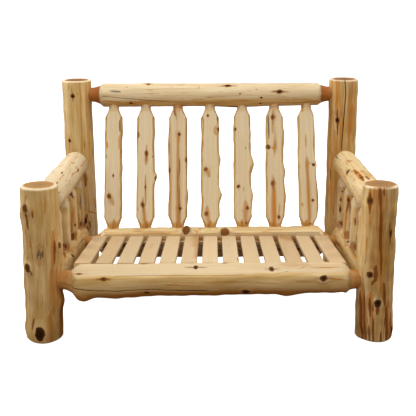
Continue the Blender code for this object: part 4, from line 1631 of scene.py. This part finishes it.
@dataclass
class Rails:
    """The logs that tie the posts together, each on two round tenons."""

    tenon_depth: float = 0.040
    cone: float = 0.040
    shoulder: float = 0.014
    top_radius: float = 0.0555
    front_radius: float = 0.070
    back_radius: float = 0.068
    arm_radius: float = 0.061
    side_radius: float = 0.060

    def tenon(self, radius: float = 0.029, rise: float = 0.0165, neck: float = 0.0) -> Tenon:
        """A rail's tenon."""
        return Tenon(radius, self.tenon_depth, self.cone, rise, self.shoulder, neck)

    def logs(self) -> dict[str, DressedLog]:
        """The rails and arms by name.

        Returns:
            Logs by name.
        """
        rails = {"top": self.top(), "front": self.front(), "back": self.back()}
        plain = (self.tenon(), self.tenon())
        for where, girth, fleck, tan, seed in (("left", (1.04, 0.99), 0.35, -0.5, 23),
                                               ("right", (1.03, 0.98), 0.30, -0.20, 24)):
            rails["arm_" + where] = DressedLog(
                "arm_rail_" + where, self.arm_radius, girth, plain, heart=0.8, fleck=fleck, tan=tan,
                streak=0.1, marks=RAIL_MARKS["arm_" + where], seed=seed)
        for where, tilt, seed in (("left", 1, 25), ("right", -1, 26)):
            rails["side_" + where] = DressedLog(
                "side_rail_" + where, self.side_radius, tenons=plain, heart=0.8, fleck=0.3, tan=0.20,
                streak=0.6, turned_tone=0.6, marks=RAIL_MARKS["side_" + where], seed=seed,
                swells=(Swell(0.81, 90 + 32 * tilt, 0.050, 0.018), Swell(0.47, 90 + 40 * tilt, 0.060, 0.010),
                        Swell(0.16, 90 + 45 * tilt, 0.050, 0.012)))
        return rails

    def top(self) -> DressedLog:
        """The log across the top of the back.

        Returns:
            The log.
        """
        ends = (self.tenon(0.0350, 0.0105), self.tenon(0.0360, 0.0095))
        return DressedLog(
            "top_rail", self.top_radius, (1.05, 1.0), ends, drift=((0.0, -0.003), (0.0, -0.002)),
            sway=0.0002, heart=0.86, heart_tone=1.0, tan=-0.42, turned_tone=1.0,
            marks=RAIL_MARKS["top"], seed=21,
            swells=(Swell(0.21, 75, 0.045, 0.004), Swell(0.58, 110, 0.040, 0.003),
                    Swell(0.64, 265, 0.160, 0.007)))

    def front(self) -> DressedLog:
        """The heavy log along the front: a planed top, a sawn back and a full edge between the two.

        Returns:
            The log.
        """
        stout = Tenon(0.0400, self.tenon_depth, 0.030, 0.006, 0.024, 0.013, flare=0.014)
        ends = (stout, replace(stout, neck=0.0, flare=0.0))
        edge = tuple(Swell(0.05 * i, 51, 0.062, 0.0035 + 0.0003 * i) for i in range(21))
        return DressedLog(
            "front_seat_rail", self.front_radius, (1.02, 0.88), ends,
            (Flat(101, 0.0233, 0.013), Flat(0, 0.025, 0.0003)), drift=((0.0, -0.0028), (0.0, 0.006)),
            heart=0.60, heart_tone=0.65, fleck=0.0, tan=0.15, streak=0.5, turned_tone=0.55,
            marks=RAIL_MARKS["front"], seed=22,
            swells=(Swell(0.02, 248, 0.055, 0.017), Swell(0.13, 258, 0.075, 0.008),
                    Swell(0.21, 260, 0.060, 0.005), Swell(0.52, 262, 0.090, 0.004),
                    Swell(0.79, 255, 0.055, 0.012), Swell(0.89, 190, 0.045, 0.003), *edge))

    def back(self) -> DressedLog:
        """The log behind the slats, its front sawn flat, on two long necks.

        Returns:
            The log.
        """
        ends = (self.tenon(0.028, 0.027, 0.037), self.tenon(0.028, 0.027, 0.020))
        return DressedLog(
            "back_seat_rail", self.back_radius, (1.06, 1.12), ends, (Flat(180, 0.023),),
            drift=((0.0, -0.004), (0.0, 0.001)), heart=0.80, heart_tone=0.4, tan=-0.15, streak=0.6,
            marks=RAIL_MARKS["back"], seed=27, swells=(Swell(0.385, 112, 0.030, 0.013),))


SPINDLE_MARKS: dict[int, Marks] = {
    1: Marks(
        knots=(Knot(113.2, 175.7, 0.0042, 0.9, 0.7, 1.3), Knot(109.2, 196.3, 0.0095, 0.6, 0.1, 1.15)),
        brown=(ColourMark(120, 119, 120, 133, 0.007, 0.9), ColourMark(106.3, 154, 106.3, 159, 0.005)),
        orange=(ColourMark(119.2, 135, 119.2, 150, 0.006, 0.9), ColourMark(107, 141, 107, 149, 0.006, 1.0),
                ColourMark(121, 121, 120.6, 160, 0.007, 0.6)),
        tan=(ColourMark(109.5, 197, 114, 205, 0.030, 0.8),)),
    2: Marks(
        knots=(Knot(146.5, 153.5, 0.0075, 0.6, 0.8, 1.7), Knot(152.8, 156.7, 0.003, 1.0),
               Knot(145.4, 187.2, 0.0036, 0.7, 1.0, 1.8), Knot(142.8, 204.8, 0.0085, 0.65, 0.7, 1.4),
               Knot(153.8, 178.6, 0.0075, 0.35, 0.1, 1.6, 0.008, 0.034)),
        brown=(ColourMark(138.2, 131, 138.2, 138, 0.007, 1.0), ColourMark(137.8, 206, 137.8, 212, 0.005, 0.8)),
        orange=(ColourMark(153, 142, 153, 150, 0.005, 0.9),),
        tan=(ColourMark(146.2, 154, 146.0, 165, 0.022, 0.8), ColourMark(145.4, 174, 145.6, 206, 0.014, 0.9),
             ColourMark(144, 205, 145, 232, 0.026, 0.9))),
    3: Marks(
        knots=(Knot(179.2, 134.3, 0.0066, 0.8, 0.5, 1.1), Knot(186.2, 159.8, 0.0062, 1.0, 0.4, 1.9),
               Knot(169.4, 170.5, 0.0060, 1.0, 0.4, 1.9), Knot(180, 208.6, 0.0066, 0.85, 0.6, 1.1)),
        brown=(ColourMark(174, 107, 175, 116, 0.012, 0.9), ColourMark(179.4, 158, 178.6, 180, 0.016, 0.7),
               ColourMark(177, 166, 178.5, 206, 0.010, 0.7), ColourMark(178.6, 184, 179, 240, 0.026, 0.56),
               ColourMark(186.2, 208, 186.2, 216, 0.006, 0.8)),
        orange=(ColourMark(178.5, 150, 178.5, 240, 0.022, 0.50), ColourMark(184.5, 106, 186, 116, 0.012, 0.8)),
        grey=(ColourMark(176, 113, 176.6, 121, 0.010, 0.6),),
        tan=(ColourMark(178.6, 134, 178.0, 147, 0.026, 0.9), ColourMark(178, 132, 178.4, 250, 0.032, 0.9),
             ColourMark(170.4, 118, 170.4, 232, 0.012, 0.6), ColourMark(186.8, 116, 186.8, 232, 0.012, 0.6))),
    4: Marks(
        knots=(Knot(207.8, 115.6, 0.0055, 0.8, 0.2),
               Knot(218.0, 129.5, 0.0085, 0.3, 0.1, 1.2, 0.005, 0.030),
               Knot(205.8, 169.2, 0.0085, 0.05, 0.1, 1.1), Knot(206.4, 213.6, 0.0090, 0.05, 0.1, 1.15),
               Knot(220.4, 196.5, 0.005, 0.2, 0.1, 1.6, 0.008, 0.036),
               Knot(219.8, 160, 0.004, 0.2, 0.1, 1.6, 0.003, 0.03)),
        brown=(ColourMark(217, 114, 217.6, 122, 0.006, 0.9),),
        orange=(ColourMark(203.6, 118, 203.4, 134, 0.006, 0.9), ColourMark(203.2, 137, 203.2, 150, 0.005, 0.8),
                ColourMark(202.6, 196, 202.8, 208, 0.005, 0.8)),
        tan=(ColourMark(216, 126, 216, 135, 0.018, 0.8), ColourMark(206, 169, 210, 177, 0.026, 0.8),
             ColourMark(207, 206, 209, 226, 0.030, 0.7))),
    5: Marks(
        knots=(Knot(235.2, 129.2, 0.0060, 0.75, 0.1, 1.2), Knot(245.4, 147.8, 0.0024, 0.8),
               Knot(238.4, 186.4, 0.0075, 0.6, 0.2, 1.0), Knot(247.4, 207.8, 0.0072, 0.7, 0.4, 1.1),
               Knot(246.2, 222.8, 0.0052, 0.7, 0.5),
               Knot(252.0, 163.4, 0.005, 0.1, 0.1, 1.7, 0.008, 0.040)),
        brown=(ColourMark(243.2, 186, 244.5, 192, 0.010, 0.7), ColourMark(242, 209, 243.2, 214, 0.007, 0.8)),
        orange=(ColourMark(235.2, 142, 235.2, 158, 0.005, 0.7),),
        tan=(ColourMark(245.4, 200, 245.4, 230, 0.030, 0.8),)),
    6: Marks(
        knots=(Knot(272.6, 117.2, 0.0078, 0.6, 0.7, 1.5),
               Knot(268.2, 147, 0.0110, 0.45, 0.2, 1.1, 0.008, 0.030),
               Knot(272.8, 183.2, 0.0088, 0.12, 0.6, 1.4), Knot(279, 217, 0.0066, 0.6, 0.4, 1.2),
               Knot(282.6, 132, 0.005, 0.3, 0.1, 1.6, 0.005, 0.034),
               Knot(283.8, 172, 0.004, 0.1, 0.1, 1.6, 0.005, 0.036)),
        brown=(ColourMark(282.4, 125, 282.4, 131, 0.006),),
        orange=(ColourMark(273.2, 186, 274.6, 232, 0.026, 0.80), ColourMark(271, 147, 274.5, 149, 0.012, 1.0),
                ColourMark(274, 150, 274, 155, 0.006, 0.8)),
        grey=(ColourMark(268.2, 113, 269, 139, 0.006, 1.0), ColourMark(267.4, 150, 267.4, 190, 0.004, 0.8)),
        tan=(ColourMark(274.0, 178, 274.4, 244, 0.036, 1.0), ColourMark(272.3, 121, 272.5, 134, 0.010, 0.8),
             ColourMark(279.6, 203, 279, 214, 0.008, 0.8))),
    7: Marks(
        knots=(Knot(313.6, 164.6, 0.0078, 0.75, 0.1, 1.0, 0.008, 0.032),
               Knot(312.3, 200.2, 0.0060, 0.65, 0.2), Knot(310.2, 223.6, 0.004, 0.6, 0.2)),
        brown=(ColourMark(297.8, 116, 297.8, 121, 0.006), ColourMark(297.9, 143, 297.9, 146, 0.004, 0.9)),
        orange=(ColourMark(308, 190, 309, 224, 0.012, 0.7), ColourMark(300, 105, 302.5, 112, 0.014, 0.9),
                ColourMark(302, 202, 302, 207, 0.006, 0.9)),
        tan=(ColourMark(306.2, 134, 306.4, 148, 0.012, 0.8), ColourMark(307.2, 162, 312.5, 164, 0.006, 0.8),
             ColourMark(307.2, 158, 309.2, 240, 0.026, 1.0))),
}


# The broad brown, grey and tan marks just above some uprights' feet are painted shade where the feet meet
# the side rails.
UPRIGHT_MARKS: dict[tuple[str, int], Marks] = {
    ("left", 2): Marks(
        brown=(ColourMark(63, 244, 68, 249, 0.020, 0.8),),
        orange=(ColourMark(66, 222, 66.2, 236, 0.006, 0.6),)),
    ("left", 3): Marks(
        knots=(Knot(75, 225, 0.0058, 1.0, 0.4), Knot(70.6, 193.5, 0.008, 0.7, 0.6, 1.6, 0.005, 0.024)),
        brown=(ColourMark(70, 190, 73.5, 198, 0.016, 0.9), ColourMark(73, 234, 74, 241, 0.030, 0.9)),
        orange=(ColourMark(74.4, 205, 74, 224, 0.012, 0.7), ColourMark(72, 212, 71.6, 236, 0.014, 0.8))),
    ("left", 4): Marks(
        orange=(ColourMark(82, 205, 82, 222, 0.010, 0.8),),
        grey=(ColourMark(80.2, 193, 80.4, 210, 0.006, 0.9), ColourMark(81, 222, 82, 227, 0.022, 0.8))),
    ("right", 2): Marks(
        brown=(ColourMark(355.4, 217, 355.2, 226, 0.009, 0.9), ColourMark(357.6, 234, 358, 244, 0.010, 0.7)),
        orange=(ColourMark(353, 212, 353.4, 232, 0.012, 0.5),),
        tan=(ColourMark(354, 245, 357, 250, 0.020, 0.9),)),
    ("right", 3): Marks(
        knots=(Knot(348.4, 200, 0.007, 0.8, 0.6, 1.5),),
        brown=(ColourMark(348.6, 198, 346.6, 213, 0.010, 1.0), ColourMark(350, 200, 350, 214, 0.006, 0.8)),
        orange=(ColourMark(346.6, 206, 344.8, 232, 0.016, 0.9),)),
    ("right", 4): Marks(
        knots=(Knot(340.2, 209.5, 0.006, 0.7, 0.6, 1.9), Knot(340.8, 199.5, 0.0045, 0.6, 0.6, 1.9),
               Knot(342.4, 191.5, 0.004, 0.8, 0.2)),
        brown=(ColourMark(339.4, 222, 342, 226, 0.026, 0.9),),
        orange=(ColourMark(340.2, 203, 340, 213, 0.012, 0.8),)),
}


@dataclass(frozen=True)
class BackSpindle:
    """What sets one back spindle apart, and the pixel column where its foot shows."""

    foot_column: float
    girth: tuple[float, float]
    swells: tuple[Swell, ...] = ()
    heart: float = 0.50
    heart_tone: float = 0.3
    drift: tuple[tuple[float, float], tuple[float, float]] = STRAIGHT
    tan: float = 0.0


@dataclass
class Spindles:
    """The slab-faced spindles of the back and the uprights under the arms."""

    back_radius: float = 0.0435
    back_cut: float = 0.018
    arm_radius: float = 0.0430
    arm_cut: float = 0.010
    depth: float = 0.036
    cone: float = 0.038
    shoulder_radius: float = 0.0405
    shoulder: float = 0.006
    foot: float = 0.0285
    head: float = 0.0245
    head_neck: float = 0.014
    # Each arm upright's tan level: partly its own tone, and below zero partly painted light that paints the
    # uprights in the arms' shade paler.
    left_tones: tuple[float, ...] = (0.1, -0.12, -0.02, 0.08)
    right_tones: tuple[float, ...] = (0.1, -0.12, 0.12, -0.15)
    tan_foot_rows: tuple[float, float] = (220.5, 236.0)
    tan_foot_width: float = 0.060
    dark_rows: tuple[float, float] = (222.0, 240.0)
    dark_width: float = 0.050
    backs: tuple[BackSpindle, ...] = (
        BackSpindle(113.9, (1.04, 0.98)),
        BackSpindle(145.8, (1.05, 1.0), (Swell(0.42, 0, 0.028, 0.009), Swell(0.85, 0, 0.050, 0.004))),
        BackSpindle(177.7, (1.08, 1.08), (Swell(0.22, 0, 0.050, 0.004),), 0.58, 0.5, tan=0.08),
        BackSpindle(210.0, (1.07, 1.02), (Swell(0.24, 350, 0.040, 0.008), Swell(0.58, 0, 0.030, 0.004))),
        BackSpindle(242.0, (1.04, 0.97), (Swell(0.52, 355, 0.040, 0.004), Swell(0.22, 0, 0.065, 0.009)),
                    tan=0.04),
        BackSpindle(274.0, (1.09, 0.98), (Swell(0.20, 0, 0.070, 0.008), Swell(0.47, 0, 0.050, 0.005),
                                          Swell(0.76, 0, 0.040, 0.004)), 0.55, 0.4, tan=0.06),
        BackSpindle(306.5, (1.08, 0.95), (Swell(0.12, 0, 0.055, 0.006), Swell(0.24, 0, 0.055, 0.004),
                                          Swell(0.53, 0, 0.040, 0.004)), 0.55, 0.3,
                    ((0.004, 0.0), (-0.004, 0.0))),
    )

    def tenon(self, radius: float, neck: float = 0.0) -> Tenon:
        """A spindle's tenon."""
        return Tenon(radius, self.depth, self.cone, self.shoulder_radius - radius, self.shoulder, neck, 1.15)

    def darkened(self, marks: Marks, column: float) -> Marks:
        """Adds the darker foot that every back spindle has: a tan band and a fainter brown band over its
        lowest rows.

        Args:
            marks: The spindle's own marks.
            column: Pixel column of its foot.

        Returns:
            All its marks.
        """
        # The foot is painted darker towards the bottom, in tan and a fainter brown.
        darkened = ColourMark(column, self.tan_foot_rows[0], column, self.tan_foot_rows[1], self.tan_foot_width, 0.95)
        dark = ColourMark(column, self.dark_rows[0], column, self.dark_rows[1], self.dark_width, 0.42)
        return replace(marks, tan=(*marks.tan, darkened), brown=(*marks.brown, dark))

    def logs(self) -> list[tuple[DressedLog, str, str]]:
        """Every spindle, with the rails that hold its foot and its head.

        Returns:
            Rows of log, foot's rail and head's rail.
        """
        ends = (self.tenon(self.foot), self.tenon(self.head, self.head_neck))
        made = []
        for number, own in enumerate(self.backs, 1):
            log = DressedLog(
                f"back_spindle_{number}", self.back_radius, own.girth, ends, (Flat(270, self.back_cut),),
                own.swells, own.drift, heart=own.heart, heart_tone=own.heart_tone, fleck=0.85, tan=own.tan,
                turned_tone=0.25, turned_share=(1.0, 0.55), wild=4, seed=31 + number,
                marks=self.darkened(SPINDLE_MARKS[number], own.foot_column))
            made.append((log, "back", "top"))
        ends = (self.tenon(self.foot), self.tenon(self.head))
        sides = (("left", 0, 41, self.left_tones), ("right", 180, 51, self.right_tones))
        for where, inside, seed, tones in sides:
            for number, tan in enumerate(tones, 1):
                # The feet's turned cones take a deeper turned colour: partly the cut wood's own, partly
                # painted shade where each foot meets its side rail.
                log = DressedLog(
                    f"arm_spindle_{where}_{number}", self.arm_radius, tenons=ends,
                    flats=(Flat(inside, self.arm_cut),), sway=0.0008, heart=0.55, fleck=0.6, tan=tan,
                    streak=0.12, turned_tone=0.6, turned_share=(1.0, 0.0), planed=0.75, wild=4,
                    marks=UPRIGHT_MARKS.get((where, number), Marks()), seed=seed + number)
                made.append((log, "side_" + where, "arm_" + where))
        return made


DECK_MARKS = Marks(
    brown=(ColourMark(237, 257, 238, 261, 0.006, 0.7), ColourMark(223.6, 261, 228, 261.4, 0.006, 0.7)),
    grey=(ColourMark(229, 243, 229.5, 250, 0.006, 0.36), ColourMark(231.6, 250, 232, 257, 0.005, 0.36)),
    tan=(ColourMark(197, 236, 197, 246, 0.046, 0.9), ColourMark(196.8, 244, 196.4, 258, 0.020, 0.8),
         ColourMark(282, 236.4, 291, 239, 0.085, 1.0), ColourMark(284, 242, 287, 258, 0.030, 0.45),
         ColourMark(150, 248, 153, 243, 0.020, 0.5)))


@dataclass
class Deck:
    """The slats, the two ledgers that carry them and the ledgers' screws."""

    edge: float = 0.003
    edge_share: float = 0.45
    edge_points: int = 4
    end_depth: float = 0.01
    pith_aside: tuple[float, float] = (0.05, 0.11)
    pith_below: tuple[float, float] = (-0.05, 0.05)
    grain_run: float = 90.0
    slat_seed: int = 700
    ledger_seed: int = 800
    ledger_tone: float = 0.3
    side_step: float = 0.008
    length_rings: int = 90
    head_radius: float = 0.0058
    head_rim: tuple[float, float] = (0.0004, 0.0054)
    head_depth: float = 0.0040
    shank_radius: float = 0.0030
    point: tuple[float, float] = (0.006, 0.0009)
    drive: float = 0.0016
    drive_ends: tuple[float, float] = (-0.001, 0.0022)
    tones: tuple[float, ...] = (0.30, 0.30, 0.08, 0.18, 0.10, 0.18, 0.0, 0.05, 0.15, 0.12, 0.32, 0.08, 0.22)
    marks: Marks = DECK_MARKS

    def on_top(self, x: float, y: float, points: Array) -> Array:
        """Where a pixel's line of sight meets a slat's sloping top.

        Args:
            x: Pixel column.
            y: Pixel row, from the top.
            points: The slat's points.

        Returns:
            The place, as x and y.
        """
        place, aim = VIEW.ray(x, y)
        front, back = points[:, 1].min(), points[:, 1].max()
        high = points[points[:, 1] < front + self.end_depth, 2].max()
        low = points[points[:, 1] > back - self.end_depth, 2].max()
        slope = (low - high) / (back - front)
        drop = high + slope * (place.y - front) - place.z
        return np.array((place + aim * (drop / (aim.z - slope * aim.y))).xy)

    def stained(self, points: Array) -> Array:
        """How strongly each kind of stain shows at every point of a board.

        Args:
            points: The board's points.

        Returns:
            A row of levels for each point, in the order of MarkColour.
        """
        stain = np.zeros((len(points), len(MarkColour)))
        for kind, mark in self.marks.stains():
            near, far = self.on_top(mark.x, mark.y, points), self.on_top(mark.to_x, mark.to_y, points)
            if not points[:, 0].min() < near[0] < points[:, 0].max():
                continue
            run = far - near
            share = np.clip((points[:, :2] - near) @ run / (run @ run), 0, 1)
            apart = np.linalg.norm(points[:, :2] - near - share[:, None] * run, axis=1)
            shown = mark.depth * np.exp(-((apart / (STAIN_CORE * mark.width)) ** 2))
            stain[:, kind.value] = np.maximum(stain[:, kind.value], shown)
        return stain

    def board(self, node: str, seed: int, along_y: bool) -> bpy.types.Object:
        """Planes one board to its CAD node's size, with eased edges and its own grain.

        Args:
            node: The CAD node that it stands for.
            seed: Sets the board's grain.
            along_y: True for a slat, False for a ledger.

        Returns:
            The piece.
        """
        points = node_points(node)
        axis = 1 if along_y else 0
        near = points[points[:, axis] < points[:, axis].mean()]
        rng = random.Random(seed)
        outline = self.eased(near, axis)
        far_shift = self.far_shift(points, axis)
        shares = np.linspace(0, 1, self.length_rings)
        rings = np.array([outline + far_shift * s for s in shares])
        if not along_y:
            rings = rings[:, ::-1]
        mesh = skin(node, rings, caps=())
        piece = add_piece(node + "_board", mesh)
        self.paint(mesh, axis, rng, self.tones[int(node[-2:]) - 1] if along_y else self.ledger_tone)
        dress(piece, node, PLANED)
        return piece

    def far_shift(self, points: Array, axis: int) -> Array:
        """From the near end face's middle to the far one's.

        Args:
            points: The board's points.
            axis: Its long axis.

        Returns:
            The shift.
        """
        middle = points[:, axis].mean()
        near, far = points[points[:, axis] < middle], points[points[:, axis] > middle]
        return (far.min(0) + far.max(0) - near.min(0) - near.max(0)) / 2

    def eased(self, end: Array, axis: int) -> Array:
        """The outline of an end face with its corners rounded, anticlockwise seen from the far end.

        Args:
            end: Corner points of the end face.
            axis: The board's long axis.

        Returns:
            Points of the outline.
        """
        middle = end.mean(0)
        others = [i for i in range(3) if i != axis]
        turns = np.arctan2(end[:, others[1]] - middle[others[1]], end[:, others[0]] - middle[others[0]])
        ring = end[np.argsort(turns)]
        if axis == 1:
            ring = ring[::-1]
        return self.rounded(ring)

    def rounded(self, ring: Array) -> Array:
        """Cuts a ring's corners with short arcs and fills its long sides with points.

        Args:
            ring: Corners in order.

        Returns:
            Points of the outline.
        """
        points: list[Array] = []
        count = len(ring)
        for i in range(count):
            here, before, after = ring[i], ring[i - 1], ring[(i + 1) % count]
            ways = [(other - here) / np.linalg.norm(other - here) for other in (before, after)]
            room = min(np.linalg.norm(before - here), np.linalg.norm(after - here)) * self.edge_share
            ease = min(self.edge, room)
            for k in range(self.edge_points):
                t = k / (self.edge_points - 1)
                points.append(here + ways[0] * ease * (1 - t) ** 2 + ways[1] * ease * t**2)
            run = np.linalg.norm(after - here) - 2 * ease
            extra = int(run / self.side_step)
            for k in range(1, extra):
                points.append(here + ways[1] * (ease + run * k / extra))
        return np.array(points)

    def paint(self, mesh: bpy.types.Mesh, axis: int, rng: random.Random, tan: float) -> None:
        """Stores the grain of a board sawn some way off the pith, its tone and its stains.

        Args:
            mesh: The board's mesh.
            axis: Its long axis.
            rng: Draws its place in the log.
            tan: Its tone.
        """
        points = vertex_array(mesh)
        middle = points.mean(0)
        others = [i for i in range(3) if i != axis]
        pith = (rng.choice((-1, 1)) * rng.uniform(*self.pith_aside), rng.uniform(*self.pith_below))
        local = points - middle
        grain = np.stack((local[:, others[0]] + pith[0], local[:, others[1]] + pith[1],
                          local[:, axis] + rng.uniform(0, self.grain_run)), 1)
        store(mesh, "grain", grain)
        plain = np.ones(len(points))
        store(mesh, "tint", np.stack((plain, 0 * plain, 0 * plain), 1))
        stain = self.stained(points) if axis == 1 else np.zeros((len(points), len(MarkColour)))
        store(mesh, "hue", np.stack((np.maximum(stain[:, 3], tan), 0 * plain, 0 * plain), 1))
        store(mesh, "stain", stain[:, :3])

    def screw(self, node: str) -> bpy.types.Object:
        """A countersunk screw with a square drive in place of its CAD node.

        Args:
            node: The CAD node that it stands for.

        Returns:
            The piece.
        """
        near, far = axis_ends(node)
        points = node_points(node)
        apart = np.hypot(points[:, 0] - near.x, points[:, 2] - near.z)
        front = points[:, 1] < points[:, 1].mean()
        if apart[front].max() < apart[~front].max():
            near, far = far, near
        along = (far - near).normalized()
        length = (far - near).length
        profile = [(0.0, self.head_rim[1]), (self.head_rim[0], self.head_radius),
                   (self.head_depth, self.shank_radius), (length - self.point[0], self.shank_radius),
                   (length, self.point[1])]
        side = Vector((0, 0, 1)).cross(along).normalized()
        matrix = np.array(Matrix((side, along.cross(side), along)).transposed())
        rings = lathe(profile, SCREW_SIDES) @ matrix.T + np.array(near)
        piece = add_piece(node + "_zinc", skin(node, rings, caps=()))
        corners = ((-1, -1), (1, -1), (1, 1), (-1, 1))
        drive = np.array([[(self.drive * a, self.drive * b, s) for a, b in corners]
                          for s in self.drive_ends])
        cut_away(piece, [skin("drive", drive @ matrix.T + np.array(near), caps=())])
        dress(piece, node, ZINC, SCREW_SHARP)
        return piece

    def build(self, nodes: Sequence[str]) -> None:
        """Makes every board and screw.

        Args:
            nodes: Names of the CAD nodes.
        """
        for number, node in enumerate(sorted(nodes)):
            if node.startswith("seat_slat"):
                self.board(node, self.slat_seed + number, True)
            elif node.startswith("ledger_screw"):
                self.screw(node)
            elif node.startswith("ledger"):
                self.board(node, self.ledger_seed + number, False)


@dataclass(frozen=True)
class Softbox:
    """A rectangular light: where it hangs, what it points at, its two sides and its power in watts."""

    name: str
    place: Colour
    aim: Colour
    size: tuple[float, float]
    power: float
    mirrored: bool = True

    def hang(self) -> None:
        """Adds the light; one that isn't mirrored leaves no reflection on the lacquer."""
        lamp = bpy.data.lights.new(self.name, "AREA")
        lamp.shape = "RECTANGLE"
        lamp.size, lamp.size_y = self.size
        lamp.energy = self.power
        softbox = bpy.data.objects.new(self.name, lamp)
        softbox.location = self.place
        softbox.visible_glossy = self.mirrored
        aim = Vector(self.aim) - Vector(self.place)
        softbox.rotation_euler = aim.to_track_quat("-Z", "Y").to_euler()
        bpy.context.scene.collection.objects.link(softbox)


@dataclass(frozen=True)
class Studio:
    """A pale floor, white surroundings and soft lights from above, both sides and the front."""

    floor_side: float = 60.0
    floor_seen: Colour = (0.9, 0.9, 0.9)
    floor_glow: float = 0.86
    bounce: Colour = (0.16, 0.072, 0.020)
    surround: float = 0.30
    backdrop: float = 0.85
    mirrored_backdrop: float = 0.30
    lights: tuple[Softbox, ...] = (
        Softbox("top_light", (-0.1, -0.6, 3.4), (0.0, 0.0, 0.3), (3.4, 2.2), 69.0),
        Softbox("left_light", (-3.2, 1.0, 2.1), (0.0, 0.0, 0.4), (1.6, 2.2), 78.0),
        Softbox("right_light", (3.2, 1.0, 2.1), (0.0, 0.0, 0.4), (1.6, 2.2), 58.0),
        Softbox("front_light", (-0.9, -4.5, 2.0), (0.0, 0.0, 0.4), (3.0, 1.8), 54.0, mirrored=False))

    def build(self) -> None:
        """Lays the floor, sets the surroundings and hangs the lights."""
        self.lay_floor()
        self.surroundings()
        for light in self.lights:
            light.hang()

    def lay_floor(self) -> None:
        """Adds the floor: white to the eye, with a warmer and dimmer bounce on to the wood."""
        half = self.floor_side / 2
        mesh = bpy.data.meshes.new("floor")
        mesh.from_pydata([(-half, -half, 0), (half, -half, 0), (half, half, 0), (-half, half, 0)], [],
                         [(0, 1, 2, 3)])
        floor = bpy.data.objects.new("floor", mesh)
        bpy.context.scene.collection.objects.link(floor)
        material = bpy.data.materials.new("floor")
        material.use_nodes = True
        g = Graph(material.node_tree)
        seen = g.node("LightPath").outputs["Is Camera Ray"]
        colour = g.mix(seen, self.bounce, self.floor_seen)
        shader = g.node("BsdfPrincipled", {"Base Color": colour, "Roughness": 0.9, "Specular IOR Level": 0.0,
                                           "Emission Color": (1.0, 1.0, 1.0),
                                           "Emission Strength": g.times(seen, self.floor_glow)})
        g.node("OutputMaterial", {"Surface": shader.outputs[0]})
        mesh.materials.append(material)

    def surroundings(self) -> None:
        """White to the eye; as a light, a pale backdrop behind the object and a dim room in front."""
        world = bpy.data.worlds.new("studio")
        bpy.context.scene.world = world
        world.use_nodes = True
        g = Graph(world.node_tree)
        path = g.node("LightPath").outputs
        seen, mirrored = path["Is Camera Ray"], path["Is Glossy Ray"]
        back = g.parts(g.node("TexCoord").outputs["Generated"])[1]
        pale = g.times(mirrored, self.mirrored_backdrop - self.backdrop)
        pale = g.plus(pale, self.backdrop - self.surround)
        glow = g.times(g.step(back, 0.0, 0.9), pale)
        glow = g.plus(glow, self.surround)
        strength = g.plus(glow, seen)
        sky = g.node("Background", {"Color": (1.0, 1.0, 1.0), "Strength": strength})
        g.node("OutputWorld", {"Surface": sky.outputs[0]})


def build_logs() -> None:
    """Makes the posts, rails and spindles, each with the mortises that its neighbours need."""
    posts, rails = Posts().logs(), Rails().logs()
    spindles = Spindles().logs()
    held = [("top", "back_left", "back_right"), ("front", "front_left", "front_right")]
    held += [(kind + where, "front_" + where, "back_" + where)
             for kind in ("arm_", "side_") for where in ("left", "right")]
    for rail, near, far in held:
        posts[near].mortises.append(rails[rail].mortise(False))
        posts[far].mortises.append(rails[rail].mortise(True))
    rails["side_left"].mortises.append(rails["back"].mortise(False))
    rails["side_right"].mortises.append(rails["back"].mortise(True))
    for spindle, foot, head in spindles:
        rails[foot].mortises.append(spindle.mortise(False))
        rails[head].mortises.append(spindle.mortise(True))
    for log in [*posts.values(), *rails.values(), *(spindle for spindle, _, _ in spindles)]:
        log.build()


def set_view() -> None:
    """Keeps the tones as plain as a product photograph's."""
    scene = bpy.context.scene
    scene.view_settings.view_transform = "Standard"
    scene.view_settings.look = "None"


def main() -> None:
    """Loads the frame, dresses it and sets up the studio."""
    logging.basicConfig(level=logging.INFO, format="%(name)s %(message)s")
    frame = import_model()
    VIEW.place_camera()
    set_view()
    build_logs()
    Deck().build(list(frame["nodes"]))
    Studio().build()


if __name__ == "__main__":
    main()
